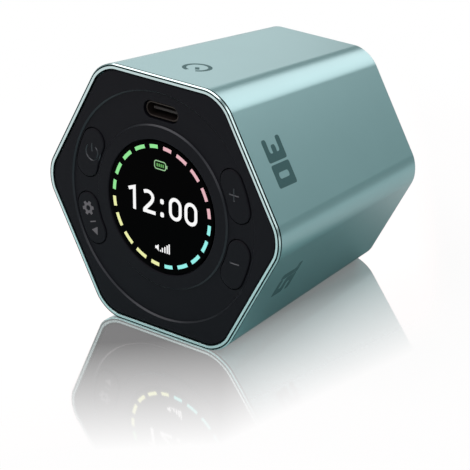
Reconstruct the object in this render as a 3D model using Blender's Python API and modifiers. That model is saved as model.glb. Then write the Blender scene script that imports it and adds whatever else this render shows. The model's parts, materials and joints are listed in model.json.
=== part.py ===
"""Six sided flip timer: a tapered aluminium sleeve round a black face with a round display and four keys.

Every piece is placed under the empty timer_axis, in the timer's own frame: X to the right, Y from the face
towards the rear, Z up. The empty tips that frame back by the sleeve's taper, so that the lowest flat lies on
the floor at Z 0 and the face looks slightly up. Lengths are metres.
"""

import math

import bmesh
import bpy
from mathutils import Matrix

# Clearance between pieces that touch on the real object
FIT_GAP = 0.0003

# Sleeve
FRONT_ACROSS_FLATS = 0.0580
REAR_ACROSS_FLATS = 0.0494
SLEEVE_DEPTH = 0.0532
CORNER_RADIUS = 0.0087
SLEEVE_WALL = 0.0020
RIM_WIDTH = 0.0011
RIM_CHAMFER = 0.0005
REAR_RIM_WIDTH = 0.0010
REAR_CHAMFER = 0.0004

# Face panel, with a shallow ring channel round a raised middle
PANEL_INSET = 0.0003
PANEL_THICKNESS = 0.0030
CHANNEL_BORDER = 0.0025
CHANNEL_WIDTH = 0.0070
CHANNEL_DEPTH = 0.0004
MIDDLE_BORDER = 0.0036

# Display window and screen
LENS_THICKNESS = 0.0010
LENS_LEDGE = 0.0005
WEB_THICKNESS = 0.0005
DISPLAY_MARGIN = 0.0013
DISPLAY_THICKNESS = 0.0016
RIBBON_WIDTH = 0.0100
RIBBON_THICKNESS = 0.0002
RIBBON_DROP = 0.0090
RIBBON_STEPS = 8

# Keys
BUTTON_ANGLE = math.radians(20.5)
BUTTON_LENGTH = 0.0117
BUTTON_MARGIN = 0.0005
BUTTON_PROUD = 0.00025
BUTTON_EDGE = 0.0003
BUTTON_SLOT_GAP = 0.0002
FLANGE_OVERHANG = 0.0008
FLANGE_THICKNESS = 0.0008
STEM_RADIUS = 0.0013
STEM_LENGTH = 0.0010

# Push switches
SWITCH_SIDE = 0.0045
SWITCH_HEIGHT = 0.0024
PLUNGER_RADIUS = 0.0011
PLUNGER_REACH = 0.0013
PLUNGER_DEPTH = 0.0012

# Charging port
PORT_DROP = 0.0005
PORT_SINK = 0.0005
PORT_WIDTH = 0.00894
PORT_HEIGHT = 0.00326
PORT_WALL = 0.0003
PORT_FLOOR = 0.0010
TONGUE_WIDTH = 0.0067
TONGUE_HEIGHT = 0.0007
TONGUE_SINK = 0.0010

# Circuit board and what sits on it: width, height and thickness
BOARD_THICKNESS = 0.0012
BOARD_CLEARANCE = 0.0005
RIBBON_SOCKET = (0.0140, 0.0040, 0.0012)
BATTERY_SOCKET = (0.0050, 0.0040, 0.0035)
SPEAKER_SOCKET = (0.0050, 0.0040, 0.0035)
PROCESSOR_CHIP = (0.0080, 0.0080, 0.0010)
MOTION_CHIP = (0.0030, 0.0030, 0.0009)
CHARGER_CHIP = (0.0040, 0.0040, 0.0010)
CHIP_EDGE = 0.00015

# Places on the board, right of and above the axis
BATTERY_SOCKET_PLACE = (0.0057, 0.0060)
SPEAKER_SOCKET_PLACE = (0.0080, -0.0060)
PROCESSOR_PLACE = (-0.0050, -0.0030)
MOTION_PLACE = (-0.0050, 0.0070)
CHARGER_PLACE = (0.0110, 0.0010)

# Inner frame
FRAME_PLATE = 0.0015
FRAME_MARGIN = 0.0025
CORNER_CLEARANCE = 0.0006
PILLAR_RADIUS = 0.00275
BATTERY_WALL = 0.0016
BATTERY_WALL_OVERRUN = 0.0020

# Battery
BATTERY_LENGTH = 0.0240
BATTERY_WIDTH = 0.0230
BATTERY_THICKNESS = 0.0080
BATTERY_EDGE = 0.0012
PAD_BORDER = 0.0020
PAD_THICKNESS = 0.0010
LEAD_RADIUS = 0.0006
LEAD_HEIGHT = 0.0060

# Speaker
SPEAKER_RADIUS = 0.0100
SPEAKER_RIM = 0.0015
MAGNET_RADIUS = 0.0050
MAGNET_HEIGHT = 0.0020
GASKET_WIDTH = 0.0012
GASKET_THICKNESS = 0.0008
COLLAR_WALL = 0.0012
SPEAKER_LEAD_OFFSET = 0.0065

# Rear cover
COVER_INSET = 0.0003
COVER_THICKNESS = 0.0020
SOUND_HOLE_RADIUS = 0.0006
SOUND_HOLE_PITCH = 0.0024
SOUND_HOLE_RINGS = 2

# Screws
SCREW_RADIUS = 0.0010
SCREW_HEAD_RADIUS = 0.0019
SCREW_HEAD_HEIGHT = 0.0012
BOARD_SCREW_LENGTH = 0.0070
REAR_SCREW_LENGTH = 0.0060
BOSS_RADIUS = 0.0022

# Facets
CORNER_STEPS = 8
ROUND_STEPS = 48
SMALL_ROUND_STEPS = 20
HOLE_STEPS = 10
EDGE_STEPS = 2
LEAD_STEPS = 10
LEAD_SIDES = 2
SHARP_ANGLE = math.radians(35)
FLAT_ANGLE = math.radians(1)
WELD = 1e-6
SINK = 0.0005

# Depths behind the front plane
PANEL_BACK = PANEL_INSET + PANEL_THICKNESS
FRONT_LEDGE = PANEL_BACK + FIT_GAP
CHANNEL_FLOOR = PANEL_INSET + CHANNEL_DEPTH
LENS_BACK = PANEL_INSET + LENS_THICKNESS
WEB_FRONT = LENS_BACK + FIT_GAP
WEB_BACK = WEB_FRONT + WEB_THICKNESS
DISPLAY_FRONT = WEB_BACK + FIT_GAP
DISPLAY_BACK = DISPLAY_FRONT + DISPLAY_THICKNESS
FLANGE_FRONT = PANEL_BACK + FIT_GAP
FLANGE_BACK = FLANGE_FRONT + FLANGE_THICKNESS
STEM_BACK = FLANGE_BACK + STEM_LENGTH
PLUNGER_FRONT = STEM_BACK + FIT_GAP
SWITCH_FRONT = PLUNGER_FRONT + PLUNGER_REACH
SWITCH_BACK = SWITCH_FRONT + SWITCH_HEIGHT
BOARD_FRONT = SWITCH_BACK + FIT_GAP
BOARD_BACK = BOARD_FRONT + BOARD_THICKNESS
FRAME_FRONT = BOARD_BACK + FIT_GAP
FRAME_BACK = FRAME_FRONT + FRAME_PLATE
BOARD_HEAD_FRONT = FRAME_BACK + FIT_GAP
BOARD_SCREW_TIP = BOARD_HEAD_FRONT - BOARD_SCREW_LENGTH
COVER_BACK = SLEEVE_DEPTH - COVER_INSET
COVER_FRONT = COVER_BACK - COVER_THICKNESS
REAR_LEDGE = COVER_FRONT - FIT_GAP
REAR_HEAD_FRONT = COVER_BACK - SCREW_HEAD_HEIGHT
REAR_SCREW_TIP = REAR_HEAD_FRONT - REAR_SCREW_LENGTH
GASKET_BACK = COVER_FRONT - FIT_GAP
GASKET_FRONT = GASKET_BACK - GASKET_THICKNESS
SPEAKER_BACK = GASKET_FRONT - FIT_GAP
SPEAKER_RIM_FRONT = SPEAKER_BACK - SPEAKER_RIM
SPEAKER_FRONT = SPEAKER_RIM_FRONT - MAGNET_HEIGHT
BATTERY_MIDDLE = (FRAME_BACK + SPEAKER_FRONT) / 2
BATTERY_FRONT = BATTERY_MIDDLE - BATTERY_LENGTH / 2

# The corners, counted anticlockwise from +X, that hold bosses and pillars
BOSS_CORNERS = (1, 3, 5)
PILLAR_CORNERS = (0, 2, 4)

BUTTONS = {
    "plus": BUTTON_ANGLE,
    "minus": -BUTTON_ANGLE,
    "power": math.pi - BUTTON_ANGLE,
    "mode": math.pi + BUTTON_ANGLE,
}


def across_flats(depth):
    """Outside width of the sleeve, flat to flat, at a depth."""
    return FRONT_ACROSS_FLATS + (REAR_ACROSS_FLATS - FRONT_ACROSS_FLATS) * depth / SLEEVE_DEPTH


def corner_radius(depth):
    """Outside corner radius of the sleeve at a depth: it narrows as the sleeve does."""
    return CORNER_RADIUS * across_flats(depth) / FRONT_ACROSS_FLATS


def corner_reach(depth, inset):
    """Distance from the axis to the rounded corner of the sleeve's outline, drawn in by inset."""
    radius = corner_radius(depth) - inset
    return (across_flats(depth) / 2 - inset - radius) / math.cos(math.pi / 6) + radius


# Sizes across the axis that follow from the sleeve, whose mouths run straight in
FRONT_MOUTH = FRONT_ACROSS_FLATS - 2 * RIM_WIDTH
FRONT_MOUTH_CORNER = CORNER_RADIUS - RIM_WIDTH
REAR_MOUTH = REAR_ACROSS_FLATS - 2 * REAR_RIM_WIDTH
REAR_MOUTH_CORNER = corner_radius(SLEEVE_DEPTH) - REAR_RIM_WIDTH
PANEL_FLATS = FRONT_MOUTH - 2 * FIT_GAP
PANEL_CORNER = FRONT_MOUTH_CORNER - FIT_GAP
CHANNEL_OUTER = PANEL_FLATS / 2 - CHANNEL_BORDER
CHANNEL_INNER = CHANNEL_OUTER - CHANNEL_WIDTH
CHANNEL_MIDDLE = CHANNEL_OUTER - CHANNEL_WIDTH / 2
LENS_RADIUS = CHANNEL_INNER - MIDDLE_BORDER
VIEW_RADIUS = LENS_RADIUS - LENS_LEDGE
DISPLAY_RADIUS = LENS_RADIUS + DISPLAY_MARGIN
BUTTON_HALF_WIDTH = CHANNEL_WIDTH / 2 - BUTTON_MARGIN
BUTTON_HALF_SWEEP = (BUTTON_LENGTH / 2 - BUTTON_HALF_WIDTH) / CHANNEL_MIDDLE
PORT_CENTRE = CHANNEL_MIDDLE - PORT_DROP
BOSS_REACH = corner_reach(BOARD_HEAD_FRONT + SCREW_HEAD_HEIGHT, SLEEVE_WALL) - CORNER_CLEARANCE - BOSS_RADIUS
PILLAR_REACH = corner_reach(REAR_LEDGE, SLEEVE_WALL) - CORNER_CLEARANCE - PILLAR_RADIUS
FRAME_OPENING = PILLAR_REACH - PILLAR_RADIUS - FRAME_MARGIN
SCREW_BORE = SCREW_RADIUS + FIT_GAP
SCREW_HEAD_BORE = SCREW_HEAD_RADIUS + FIT_GAP
WALL_MIDDLE = PILLAR_REACH * math.cos(2 * math.pi / 3)
PAD_NEAR = WALL_MIDDLE + BATTERY_WALL / 2 + FIT_GAP
BATTERY_NEAR = PAD_NEAR + PAD_THICKNESS + FIT_GAP

# The taper of one flat, which is how far the axis tips back when the timer lies on it
TILT = math.atan((FRONT_ACROSS_FLATS - REAR_ACROSS_FLATS) / 2 / SLEEVE_DEPTH)


def clear_scene():
    for obj in list(bpy.data.objects):
        bpy.data.objects.remove(obj, do_unlink=True)


def make_collection(name):
    collection = bpy.data.collections.new(name)
    bpy.context.scene.collection.children.link(collection)
    return collection


def make_axis():
    """The empty that carries every piece, placed so that the box round the sleeve is centred over the origin."""
    half_front = FRONT_ACROSS_FLATS / 2
    half_rear = REAR_ACROSS_FLATS / 2
    nearest = -(half_front - RIM_CHAMFER) * math.sin(TILT)
    farthest = SLEEVE_DEPTH * math.cos(TILT) + (half_rear - REAR_CHAMFER) * math.sin(TILT)
    axis = bpy.data.objects.new("timer_axis", None)
    axis.rotation_euler.x = -TILT
    axis.location = (0, -(nearest + farthest) / 2, half_front * math.cos(TILT))
    PARTS.objects.link(axis)
    return axis


def make_material(name, colour, roughness, metallic=0.0):
    material = bpy.data.materials.new(name)
    material.use_nodes = True
    shader = material.node_tree.nodes["Principled BSDF"]
    shader.inputs["Base Color"].default_value = (*colour, 1)
    shader.inputs["Roughness"].default_value = roughness
    shader.inputs["Metallic"].default_value = metallic
    return material


def add_piece(name, data, material):
    """A finished piece under the timer's axis, or a cutter where it has no material."""
    obj = bpy.data.objects.new(name, data)
    obj.parent = AXIS
    if material:
        data.materials.append(material)
        PARTS.objects.link(obj)
    else:
        obj.hide_render = True
        obj.display_type = "WIRE"
        CUTTERS.objects.link(obj)
    return obj


def boolean(target, tool, operation):
    modifier = target.modifiers.new(f"{operation.lower()} {tool.name}", "BOOLEAN")
    modifier.object = tool
    modifier.operation = operation
    return target


def finish_mesh(bm, name):
    """A mesh from bm with its seams welded, its faces outward, and only its edges sharp."""
    bmesh.ops.remove_doubles(bm, verts=bm.verts, dist=WELD)
    bmesh.ops.recalc_face_normals(bm, faces=bm.faces)
    mesh = bpy.data.meshes.new(name)
    bm.to_mesh(mesh)
    bm.free()
    mesh.shade_smooth()
    mesh.set_sharp_from_angle(angle=SHARP_ANGLE)
    return mesh


def polar(radius, angle, centre=(0, 0)):
    return centre[0] + radius * math.cos(angle), centre[1] + radius * math.sin(angle)


def arc(radius, start, sweep, steps, centre=(0, 0)):
    return [polar(radius, start + sweep * step / steps, centre) for step in range(steps + 1)]


def circle(radius, steps, centre=(0, 0)):
    return arc(radius, 0, 2 * math.pi, steps, centre)[:-1]


def hexagon(flats, radius):
    """Outline of a hexagon with rounded corners and a flat side up."""
    reach = (flats / 2 - radius) / math.cos(math.pi / 6)
    points = []
    for corner in range(6):
        heading = corner * math.pi / 3
        points += arc(radius, heading - math.pi / 6, math.pi / 3, CORNER_STEPS, polar(reach, heading))
    return points


def sleeve_outline(depth, inset):
    """The sleeve's outside outline at a depth, drawn in by inset."""
    return hexagon(across_flats(depth) - 2 * inset, corner_radius(depth) - inset)


def bean(angle, half_width):
    """Outline of a key: a stretch of ring with round ends, centred on an angle."""
    start = angle - BUTTON_HALF_SWEEP
    end = angle + BUTTON_HALF_SWEEP
    sweep = end - start
    inner = CHANNEL_MIDDLE - half_width
    outer = CHANNEL_MIDDLE + half_width
    return (
        arc(outer, start, sweep, CORNER_STEPS)
        + arc(half_width, end, math.pi, CORNER_STEPS, polar(CHANNEL_MIDDLE, end))[1:]
        + arc(inner, end, -sweep, CORNER_STEPS)[1:]
        + arc(half_width, start + math.pi, math.pi, CORNER_STEPS, polar(CHANNEL_MIDDLE, start))[1:-1]
    )


def slot(width, height, centre=(0, 0)):
    """Outline of a slot with round ends."""
    radius = height / 2
    run = width / 2 - radius
    right = arc(radius, -math.pi / 2, math.pi, CORNER_STEPS, (centre[0] + run, centre[1]))
    left = arc(radius, math.pi / 2, math.pi, CORNER_STEPS, (centre[0] - run, centre[1]))
    return right + left


def square(side):
    half = side / 2
    return [(half, -half), (half, half), (-half, half), (-half, -half)]


def plate(name, outlines, front, back, material=None, place=(0, 0)):
    """A flat piece between two depths: the first outline is its edge, the others are holes through it."""
    curve = bpy.data.curves.new(name, "CURVE")
    curve.dimensions = "2D"
    curve.fill_mode = "BOTH"
    curve.extrude = (back - front) / 2
    for outline in outlines:
        spline = curve.splines.new("POLY")
        spline.points.add(len(outline) - 1)
        spline.use_cyclic_u = True
        for point, (x, z) in zip(spline.points, outline):
            point.co = (x, z, 0, 1)
    guide = bpy.data.objects.new(name + "_outline", curve)
    CUTTERS.objects.link(guide)
    flat = bpy.data.meshes.new_from_object(guide.evaluated_get(bpy.context.evaluated_depsgraph_get()))
    bm = bmesh.new()
    bm.from_mesh(flat)
    bpy.data.objects.remove(guide)
    bpy.data.curves.remove(curve)
    bpy.data.meshes.remove(flat)
    bmesh.ops.remove_doubles(bm, verts=bm.verts, dist=WELD)
    bmesh.ops.dissolve_limit(bm, angle_limit=FLAT_ANGLE, verts=bm.verts, edges=bm.edges)
    obj = add_piece(name, finish_mesh(bm, name), material)
    obj.rotation_euler.x = math.pi / 2
    obj.location = (place[0], (front + back) / 2, place[1])
    return obj


def loft(name, sections, material, ring=False, place=(0, 0)):
    """A skin over outlines of equal count, each given with its depth: a closed ring, or capped at both ends."""
    bm = bmesh.new()
    rings = [[bm.verts.new((x, depth, z)) for x, z in outline] for depth, outline in sections]
    pairs = list(zip(rings, rings[1:]))
    if ring:
        pairs.append((rings[-1], rings[0]))
    else:
        bm.faces.new(rings[0])
        bm.faces.new(rings[-1])
    for near, far in pairs:
        for index in range(len(near)):
            bm.faces.new((near[index - 1], near[index], far[index], far[index - 1]))
    obj = add_piece(name, finish_mesh(bm, name), material)
    obj.location = (place[0], 0, place[1])
    return obj


def turned(name, profile, material=None, place=(0, 0), steps=SMALL_ROUND_STEPS, ring=False):
    """A turned piece along the depth. Its profile lists (radius, depth) from front to rear on the outer side."""
    bm = bmesh.new()
    points = [bm.verts.new((radius, 0, -depth)) for radius, depth in profile]
    for near, far in zip(points, points[1:]):
        bm.edges.new((near, far))
    if ring:
        bm.edges.new((points[-1], points[0]))
    mesh = bpy.data.meshes.new(name)
    bm.to_mesh(mesh)
    bm.free()
    obj = add_piece(name, mesh, material)
    obj.rotation_euler.x = math.pi / 2
    obj.location = (place[0], 0, place[1])
    screw = obj.modifiers.new("turn", "SCREW")
    screw.axis = "Z"
    screw.steps = steps
    screw.render_steps = steps
    screw.use_merge_vertices = True
    screw.merge_threshold = WELD
    screw.use_smooth_shade = not material or steps > SMALL_ROUND_STEPS
    return obj


def rod(name, radius, front, back, material=None, place=(0, 0), steps=SMALL_ROUND_STEPS):
    return turned(name, [(0, front), (radius, front), (radius, back), (0, back)], material, place, steps)


def post(name, radius, front, back, bore_floor, place):
    """A round post that is solid in front and bored for a screw from its rear end."""
    profile = [
        (0, front),
        (radius, front),
        (radius, back),
        (SCREW_BORE, back),
        (SCREW_BORE, bore_floor),
        (0, bore_floor),
    ]
    return turned(name, profile, place=place)


def block(name, size, centre, edge, material):
    """A box with softened edges; size and centre run right, to the rear and up."""
    bm = bmesh.new()
    bmesh.ops.create_cube(bm, size=1)
    bmesh.ops.scale(bm, verts=bm.verts, vec=size)
    obj = add_piece(name, finish_mesh(bm, name), material)
    obj.location = centre
    if edge:
        bevel = obj.modifiers.new("edges", "BEVEL")
        bevel.width = edge
        bevel.segments = EDGE_STEPS
    return obj


def lead(name, start, start_pull, end, end_pull, material):
    """A round wire on one smooth curve between two points, leaving each along its pull."""
    curve = bpy.data.curves.new(name, "CURVE")
    curve.dimensions = "3D"
    curve.bevel_depth = LEAD_RADIUS
    curve.bevel_resolution = LEAD_SIDES
    curve.resolution_u = LEAD_STEPS
    curve.use_fill_caps = True
    spline = curve.splines.new("BEZIER")
    spline.bezier_points.add(1)
    for point, place, pull in zip(spline.bezier_points, (start, end), (start_pull, end_pull)):
        point.co = place
        point.handle_left = [a - b for a, b in zip(place, pull)]
        point.handle_right = [a + b for a, b in zip(place, pull)]
    return add_piece(name, curve, material)


def corner_place(reach, corner):
    return polar(reach, corner * math.pi / 3)


def make_sleeve(material):
    """The six sided sleeve: chamfered rims, a ledge for the panel in front and one for the cover behind."""
    front_mouth = hexagon(FRONT_MOUTH, FRONT_MOUTH_CORNER)
    rear_mouth = hexagon(REAR_MOUTH, REAR_MOUTH_CORNER)
    rear_edge = SLEEVE_DEPTH - REAR_CHAMFER
    sections = [
        (0, sleeve_outline(0, RIM_CHAMFER)),
        (RIM_CHAMFER, sleeve_outline(RIM_CHAMFER, 0)),
        (rear_edge, sleeve_outline(rear_edge, 0)),
        (SLEEVE_DEPTH, sleeve_outline(SLEEVE_DEPTH, REAR_CHAMFER)),
        (SLEEVE_DEPTH, rear_mouth),
        (REAR_LEDGE, rear_mouth),
        (REAR_LEDGE, sleeve_outline(REAR_LEDGE, SLEEVE_WALL)),
        (FRONT_LEDGE, sleeve_outline(FRONT_LEDGE, SLEEVE_WALL)),
        (FRONT_LEDGE, front_mouth),
        (0, front_mouth),
    ]
    loft("outer_shell", sections, material, ring=True)


def make_panel(material):
    """The face panel: bosses behind, a ring channel with slots for the keys and the port, and the window's seat."""
    panel = plate("front_panel", [hexagon(PANEL_FLATS, PANEL_CORNER)], PANEL_INSET, PANEL_BACK, material)
    boss_back = BOARD_FRONT - FIT_GAP
    bore_floor = max(BOARD_SCREW_TIP - FIT_GAP, PANEL_BACK)
    for corner in BOSS_CORNERS:
        place = corner_place(BOSS_REACH, corner)
        boss = post(f"boss_{corner}", BOSS_RADIUS, PANEL_BACK - SINK, boss_back, bore_floor, place)
        boolean(panel, boss, "UNION")
    channel = [
        (CHANNEL_INNER, -SINK),
        (CHANNEL_OUTER, -SINK),
        (CHANNEL_OUTER, CHANNEL_FLOOR),
        (CHANNEL_INNER, CHANNEL_FLOOR),
    ]
    boolean(panel, turned("channel_cutter", channel, steps=2 * ROUND_STEPS, ring=True), "DIFFERENCE")
    seat = LENS_RADIUS + FIT_GAP
    pocket = DISPLAY_RADIUS + FIT_GAP
    pocket_back = max(PANEL_BACK, DISPLAY_BACK) + SINK
    window = [
        (0, -SINK),
        (seat, -SINK),
        (seat, WEB_FRONT),
        (VIEW_RADIUS, WEB_FRONT),
        (VIEW_RADIUS, WEB_BACK),
        (pocket, WEB_BACK),
        (pocket, pocket_back),
        (0, pocket_back),
    ]
    boolean(panel, turned("window_cutter", window, steps=ROUND_STEPS), "DIFFERENCE")
    slots = {name: bean(angle, BUTTON_HALF_WIDTH + BUTTON_SLOT_GAP) for name, angle in BUTTONS.items()}
    slots["port"] = slot(PORT_WIDTH + 2 * FIT_GAP, PORT_HEIGHT + 2 * FIT_GAP, (0, PORT_CENTRE))
    for name, outline in slots.items():
        boolean(panel, plate(f"slot_cutter_{name}", [outline], -SINK, PANEL_BACK + SINK), "DIFFERENCE")


def make_display(glass, screen, film, plastic):
    rod("display_lens", LENS_RADIUS, PANEL_INSET, LENS_BACK, glass, steps=ROUND_STEPS)
    rod("display_module", DISPLAY_RADIUS, DISPLAY_FRONT, DISPLAY_BACK, screen, steps=ROUND_STEPS)
    width, height, thickness = RIBBON_SOCKET
    socket_back = BOARD_FRONT - FIT_GAP
    socket_middle = socket_back - thickness / 2
    block("ribbon_socket", (width, thickness, height), (0, socket_middle, 0), CHIP_EDGE, plastic)
    make_ribbon(DISPLAY_BACK + FIT_GAP, socket_middle, -RIBBON_DROP, -height / 2 - FIT_GAP, film)


def make_ribbon(front, back, low, high, material):
    """A flat ribbon that leaves the screen to the rear and turns up a quarter ellipse into its socket."""
    bm = bmesh.new()
    edges = []
    last = None
    for step in range(RIBBON_STEPS + 1):
        turn = math.pi / 2 * step / RIBBON_STEPS
        depth = front + (back - front) * math.sin(turn)
        height = low + (high - low) * (1 - math.cos(turn))
        point = bm.verts.new((-RIBBON_WIDTH / 2, depth, height))
        if last:
            edges.append(bm.edges.new((last, point)))
        last = point
    strip = bmesh.ops.extrude_edge_only(bm, edges=edges)["geom"]
    moved = [item for item in strip if isinstance(item, bmesh.types.BMVert)]
    bmesh.ops.translate(bm, verts=moved, vec=(RIBBON_WIDTH, 0, 0))
    ribbon = add_piece("display_ribbon", finish_mesh(bm, "display_ribbon"), material)
    wall = ribbon.modifiers.new("thickness", "SOLIDIFY")
    wall.thickness = RIBBON_THICKNESS
    wall.offset = 0


def make_button(name, angle, material):
    """A key: a bean shaped cap with a soft edge, a flange behind the panel and a stem over its switch."""
    front = CHANNEL_FLOOR - BUTTON_PROUD
    middle = polar(CHANNEL_MIDDLE, angle)
    profile = [
        (front, -BUTTON_EDGE),
        (front + BUTTON_EDGE, 0),
        (FLANGE_FRONT, 0),
        (FLANGE_FRONT, FLANGE_OVERHANG),
        (FLANGE_BACK, FLANGE_OVERHANG),
    ]
    sections = [
        (depth, [(x - middle[0], z - middle[1]) for x, z in bean(angle, BUTTON_HALF_WIDTH + grow)])
        for depth, grow in profile
    ]
    button = loft(f"button_{name}", sections, material, place=middle)
    stem = rod(f"stem_{name}", STEM_RADIUS, FLANGE_BACK - FLANGE_THICKNESS / 2, STEM_BACK, place=middle)
    boolean(button, stem, "UNION")


def make_switch(name, angle, housing, stem):
    """A push switch: a square housing with a round well, and the plunger that slides in it."""
    middle = polar(CHANNEL_MIDDLE, angle)
    outlines = [square(SWITCH_SIDE), circle(PLUNGER_RADIUS + FIT_GAP, SMALL_ROUND_STEPS)]
    plate(f"switch_{name}", outlines, SWITCH_FRONT, SWITCH_BACK, housing, middle)
    rod(f"plunger_{name}", PLUNGER_RADIUS, PLUNGER_FRONT, SWITCH_FRONT + PLUNGER_DEPTH, stem, middle)


def make_port(metal, plastic):
    """The charging port: a thin cup that stands on the board in the panel's slot, and its tongue."""
    front = CHANNEL_FLOOR + PORT_SINK
    back = BOARD_FRONT - FIT_GAP
    floor = back - PORT_FLOOR
    outer = slot(PORT_WIDTH, PORT_HEIGHT)
    inner = slot(PORT_WIDTH - 2 * PORT_WALL, PORT_HEIGHT - 2 * PORT_WALL)
    sections = [(floor, inner), (front, inner), (front, outer), (back, outer)]
    loft("usb_receptacle", sections, metal, place=(0, PORT_CENTRE))
    tongue_front = front + TONGUE_SINK
    tongue_back = floor - FIT_GAP
    size = (TONGUE_WIDTH, tongue_back - tongue_front, TONGUE_HEIGHT)
    block("usb_tongue", size, (0, (tongue_front + tongue_back) / 2, PORT_CENTRE), CHIP_EDGE, plastic)


def make_board(material):
    """The circuit board, a hexagon that fits in the sleeve behind the switches."""
    outlines = [sleeve_outline(BOARD_BACK, SLEEVE_WALL + BOARD_CLEARANCE)]
    for corner in BOSS_CORNERS:
        outlines.append(circle(SCREW_BORE, SMALL_ROUND_STEPS, corner_place(BOSS_REACH, corner)))
    plate("main_board", outlines, BOARD_FRONT, BOARD_BACK, material)


def make_on_board(name, size, place, material):
    """A box shaped piece on the rear of the board."""
    width, height, thickness = size
    middle = BOARD_BACK + FIT_GAP + thickness / 2
    return block(name, (width, thickness, height), (place[0], middle, place[1]), CHIP_EDGE, material)


def make_frame(material):
    """The carrier: a plate behind the board, three pillars for the cover's screws, and a wall for the battery."""
    outlines = [
        sleeve_outline(FRAME_BACK, SLEEVE_WALL + BOARD_CLEARANCE),
        circle(FRAME_OPENING, ROUND_STEPS),
    ]
    for corner in BOSS_CORNERS:
        outlines.append(circle(SCREW_BORE, SMALL_ROUND_STEPS, corner_place(BOSS_REACH, corner)))
    frame = plate("inner_frame", outlines, FRAME_FRONT, FRAME_BACK, material)
    root = FRAME_BACK - FRAME_PLATE / 2
    for corner in PILLAR_CORNERS:
        place = corner_place(PILLAR_REACH, corner)
        pillar = post(f"pillar_{corner}", PILLAR_RADIUS, root, REAR_LEDGE, REAR_SCREW_TIP - FIT_GAP, place)
        boolean(frame, pillar, "UNION")
    wall_front = FRAME_FRONT + FRAME_PLATE / 3
    wall_back = BATTERY_MIDDLE + BATTERY_LENGTH / 2 + BATTERY_WALL_OVERRUN
    wall_end = PILLAR_REACH * math.sin(math.pi / 3) - (PILLAR_RADIUS + SCREW_BORE) / 2
    wall_size = (BATTERY_WALL, wall_back - wall_front, 2 * wall_end)
    wall = block("battery_wall", wall_size, (WALL_MIDDLE, (wall_front + wall_back) / 2, 0), 0, None)
    boolean(frame, wall, "UNION")


def make_battery(foil, foam, wire):
    middle = BATTERY_NEAR + BATTERY_THICKNESS / 2
    size = (BATTERY_THICKNESS, BATTERY_LENGTH, BATTERY_WIDTH)
    block("battery_cell", size, (middle, BATTERY_MIDDLE, 0), BATTERY_EDGE, foil)
    pad_size = (PAD_THICKNESS, BATTERY_LENGTH - 2 * PAD_BORDER, BATTERY_WIDTH - 2 * PAD_BORDER)
    block("battery_pad", pad_size, (PAD_NEAR + PAD_THICKNESS / 2, BATTERY_MIDDLE, 0), 0, foam)
    width, height, thickness = BATTERY_SOCKET
    start = (middle, BATTERY_FRONT - FIT_GAP, LEAD_HEIGHT)
    end_x = BATTERY_SOCKET_PLACE[0] - width / 2 - FIT_GAP
    end = (end_x, BOARD_BACK + FIT_GAP + thickness / 2, BATTERY_SOCKET_PLACE[1])
    bow = (BATTERY_FRONT - end[1]) / 2
    lead("battery_lead", start, (0, -bow, 0), end, (bow, 0, 0), wire)


def make_speaker(metal, foam, wire):
    """The speaker under the cover's holes: a magnet, a basket and a soft ring."""
    profile = [
        (0, SPEAKER_FRONT),
        (MAGNET_RADIUS, SPEAKER_FRONT),
        (MAGNET_RADIUS, SPEAKER_RIM_FRONT),
        (SPEAKER_RADIUS, SPEAKER_RIM_FRONT),
        (SPEAKER_RADIUS, SPEAKER_BACK),
        (0, SPEAKER_BACK),
    ]
    turned("speaker", profile, metal, steps=ROUND_STEPS)
    ring = [
        (SPEAKER_RADIUS, GASKET_FRONT),
        (SPEAKER_RADIUS, GASKET_BACK),
        (SPEAKER_RADIUS - GASKET_WIDTH, GASKET_BACK),
        (SPEAKER_RADIUS - GASKET_WIDTH, GASKET_FRONT),
    ]
    turned("speaker_gasket", ring, foam, steps=ROUND_STEPS, ring=True)
    start = (SPEAKER_LEAD_OFFSET, SPEAKER_RIM_FRONT - FIT_GAP, 0)
    socket_back = BOARD_BACK + FIT_GAP + SPEAKER_SOCKET[2]
    end = (SPEAKER_SOCKET_PLACE[0], socket_back + FIT_GAP, SPEAKER_SOCKET_PLACE[1])
    pull = (0, (end[1] - start[1]) / 3, 0)
    lead("speaker_lead", start, pull, end, pull, wire)


def make_sound_pins():
    """A cutter with a pin for each sound hole: rings of six, twelve and so on round a middle one."""
    places = [(0, 0)]
    for count in range(1, SOUND_HOLE_RINGS + 1):
        places += circle(count * SOUND_HOLE_PITCH, 6 * count)
    bm = bmesh.new()
    length = COVER_THICKNESS + 2 * SINK
    upright = Matrix.Rotation(math.pi / 2, 4, "X")
    for x, z in places:
        bmesh.ops.create_cone(
            bm,
            cap_ends=True,
            segments=HOLE_STEPS,
            radius1=SOUND_HOLE_RADIUS,
            radius2=SOUND_HOLE_RADIUS,
            depth=length,
            matrix=Matrix.Translation((x, (COVER_FRONT + COVER_BACK) / 2, z)) @ upright,
        )
    return add_piece("sound_pins", finish_mesh(bm, "sound_pins"), None)


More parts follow.
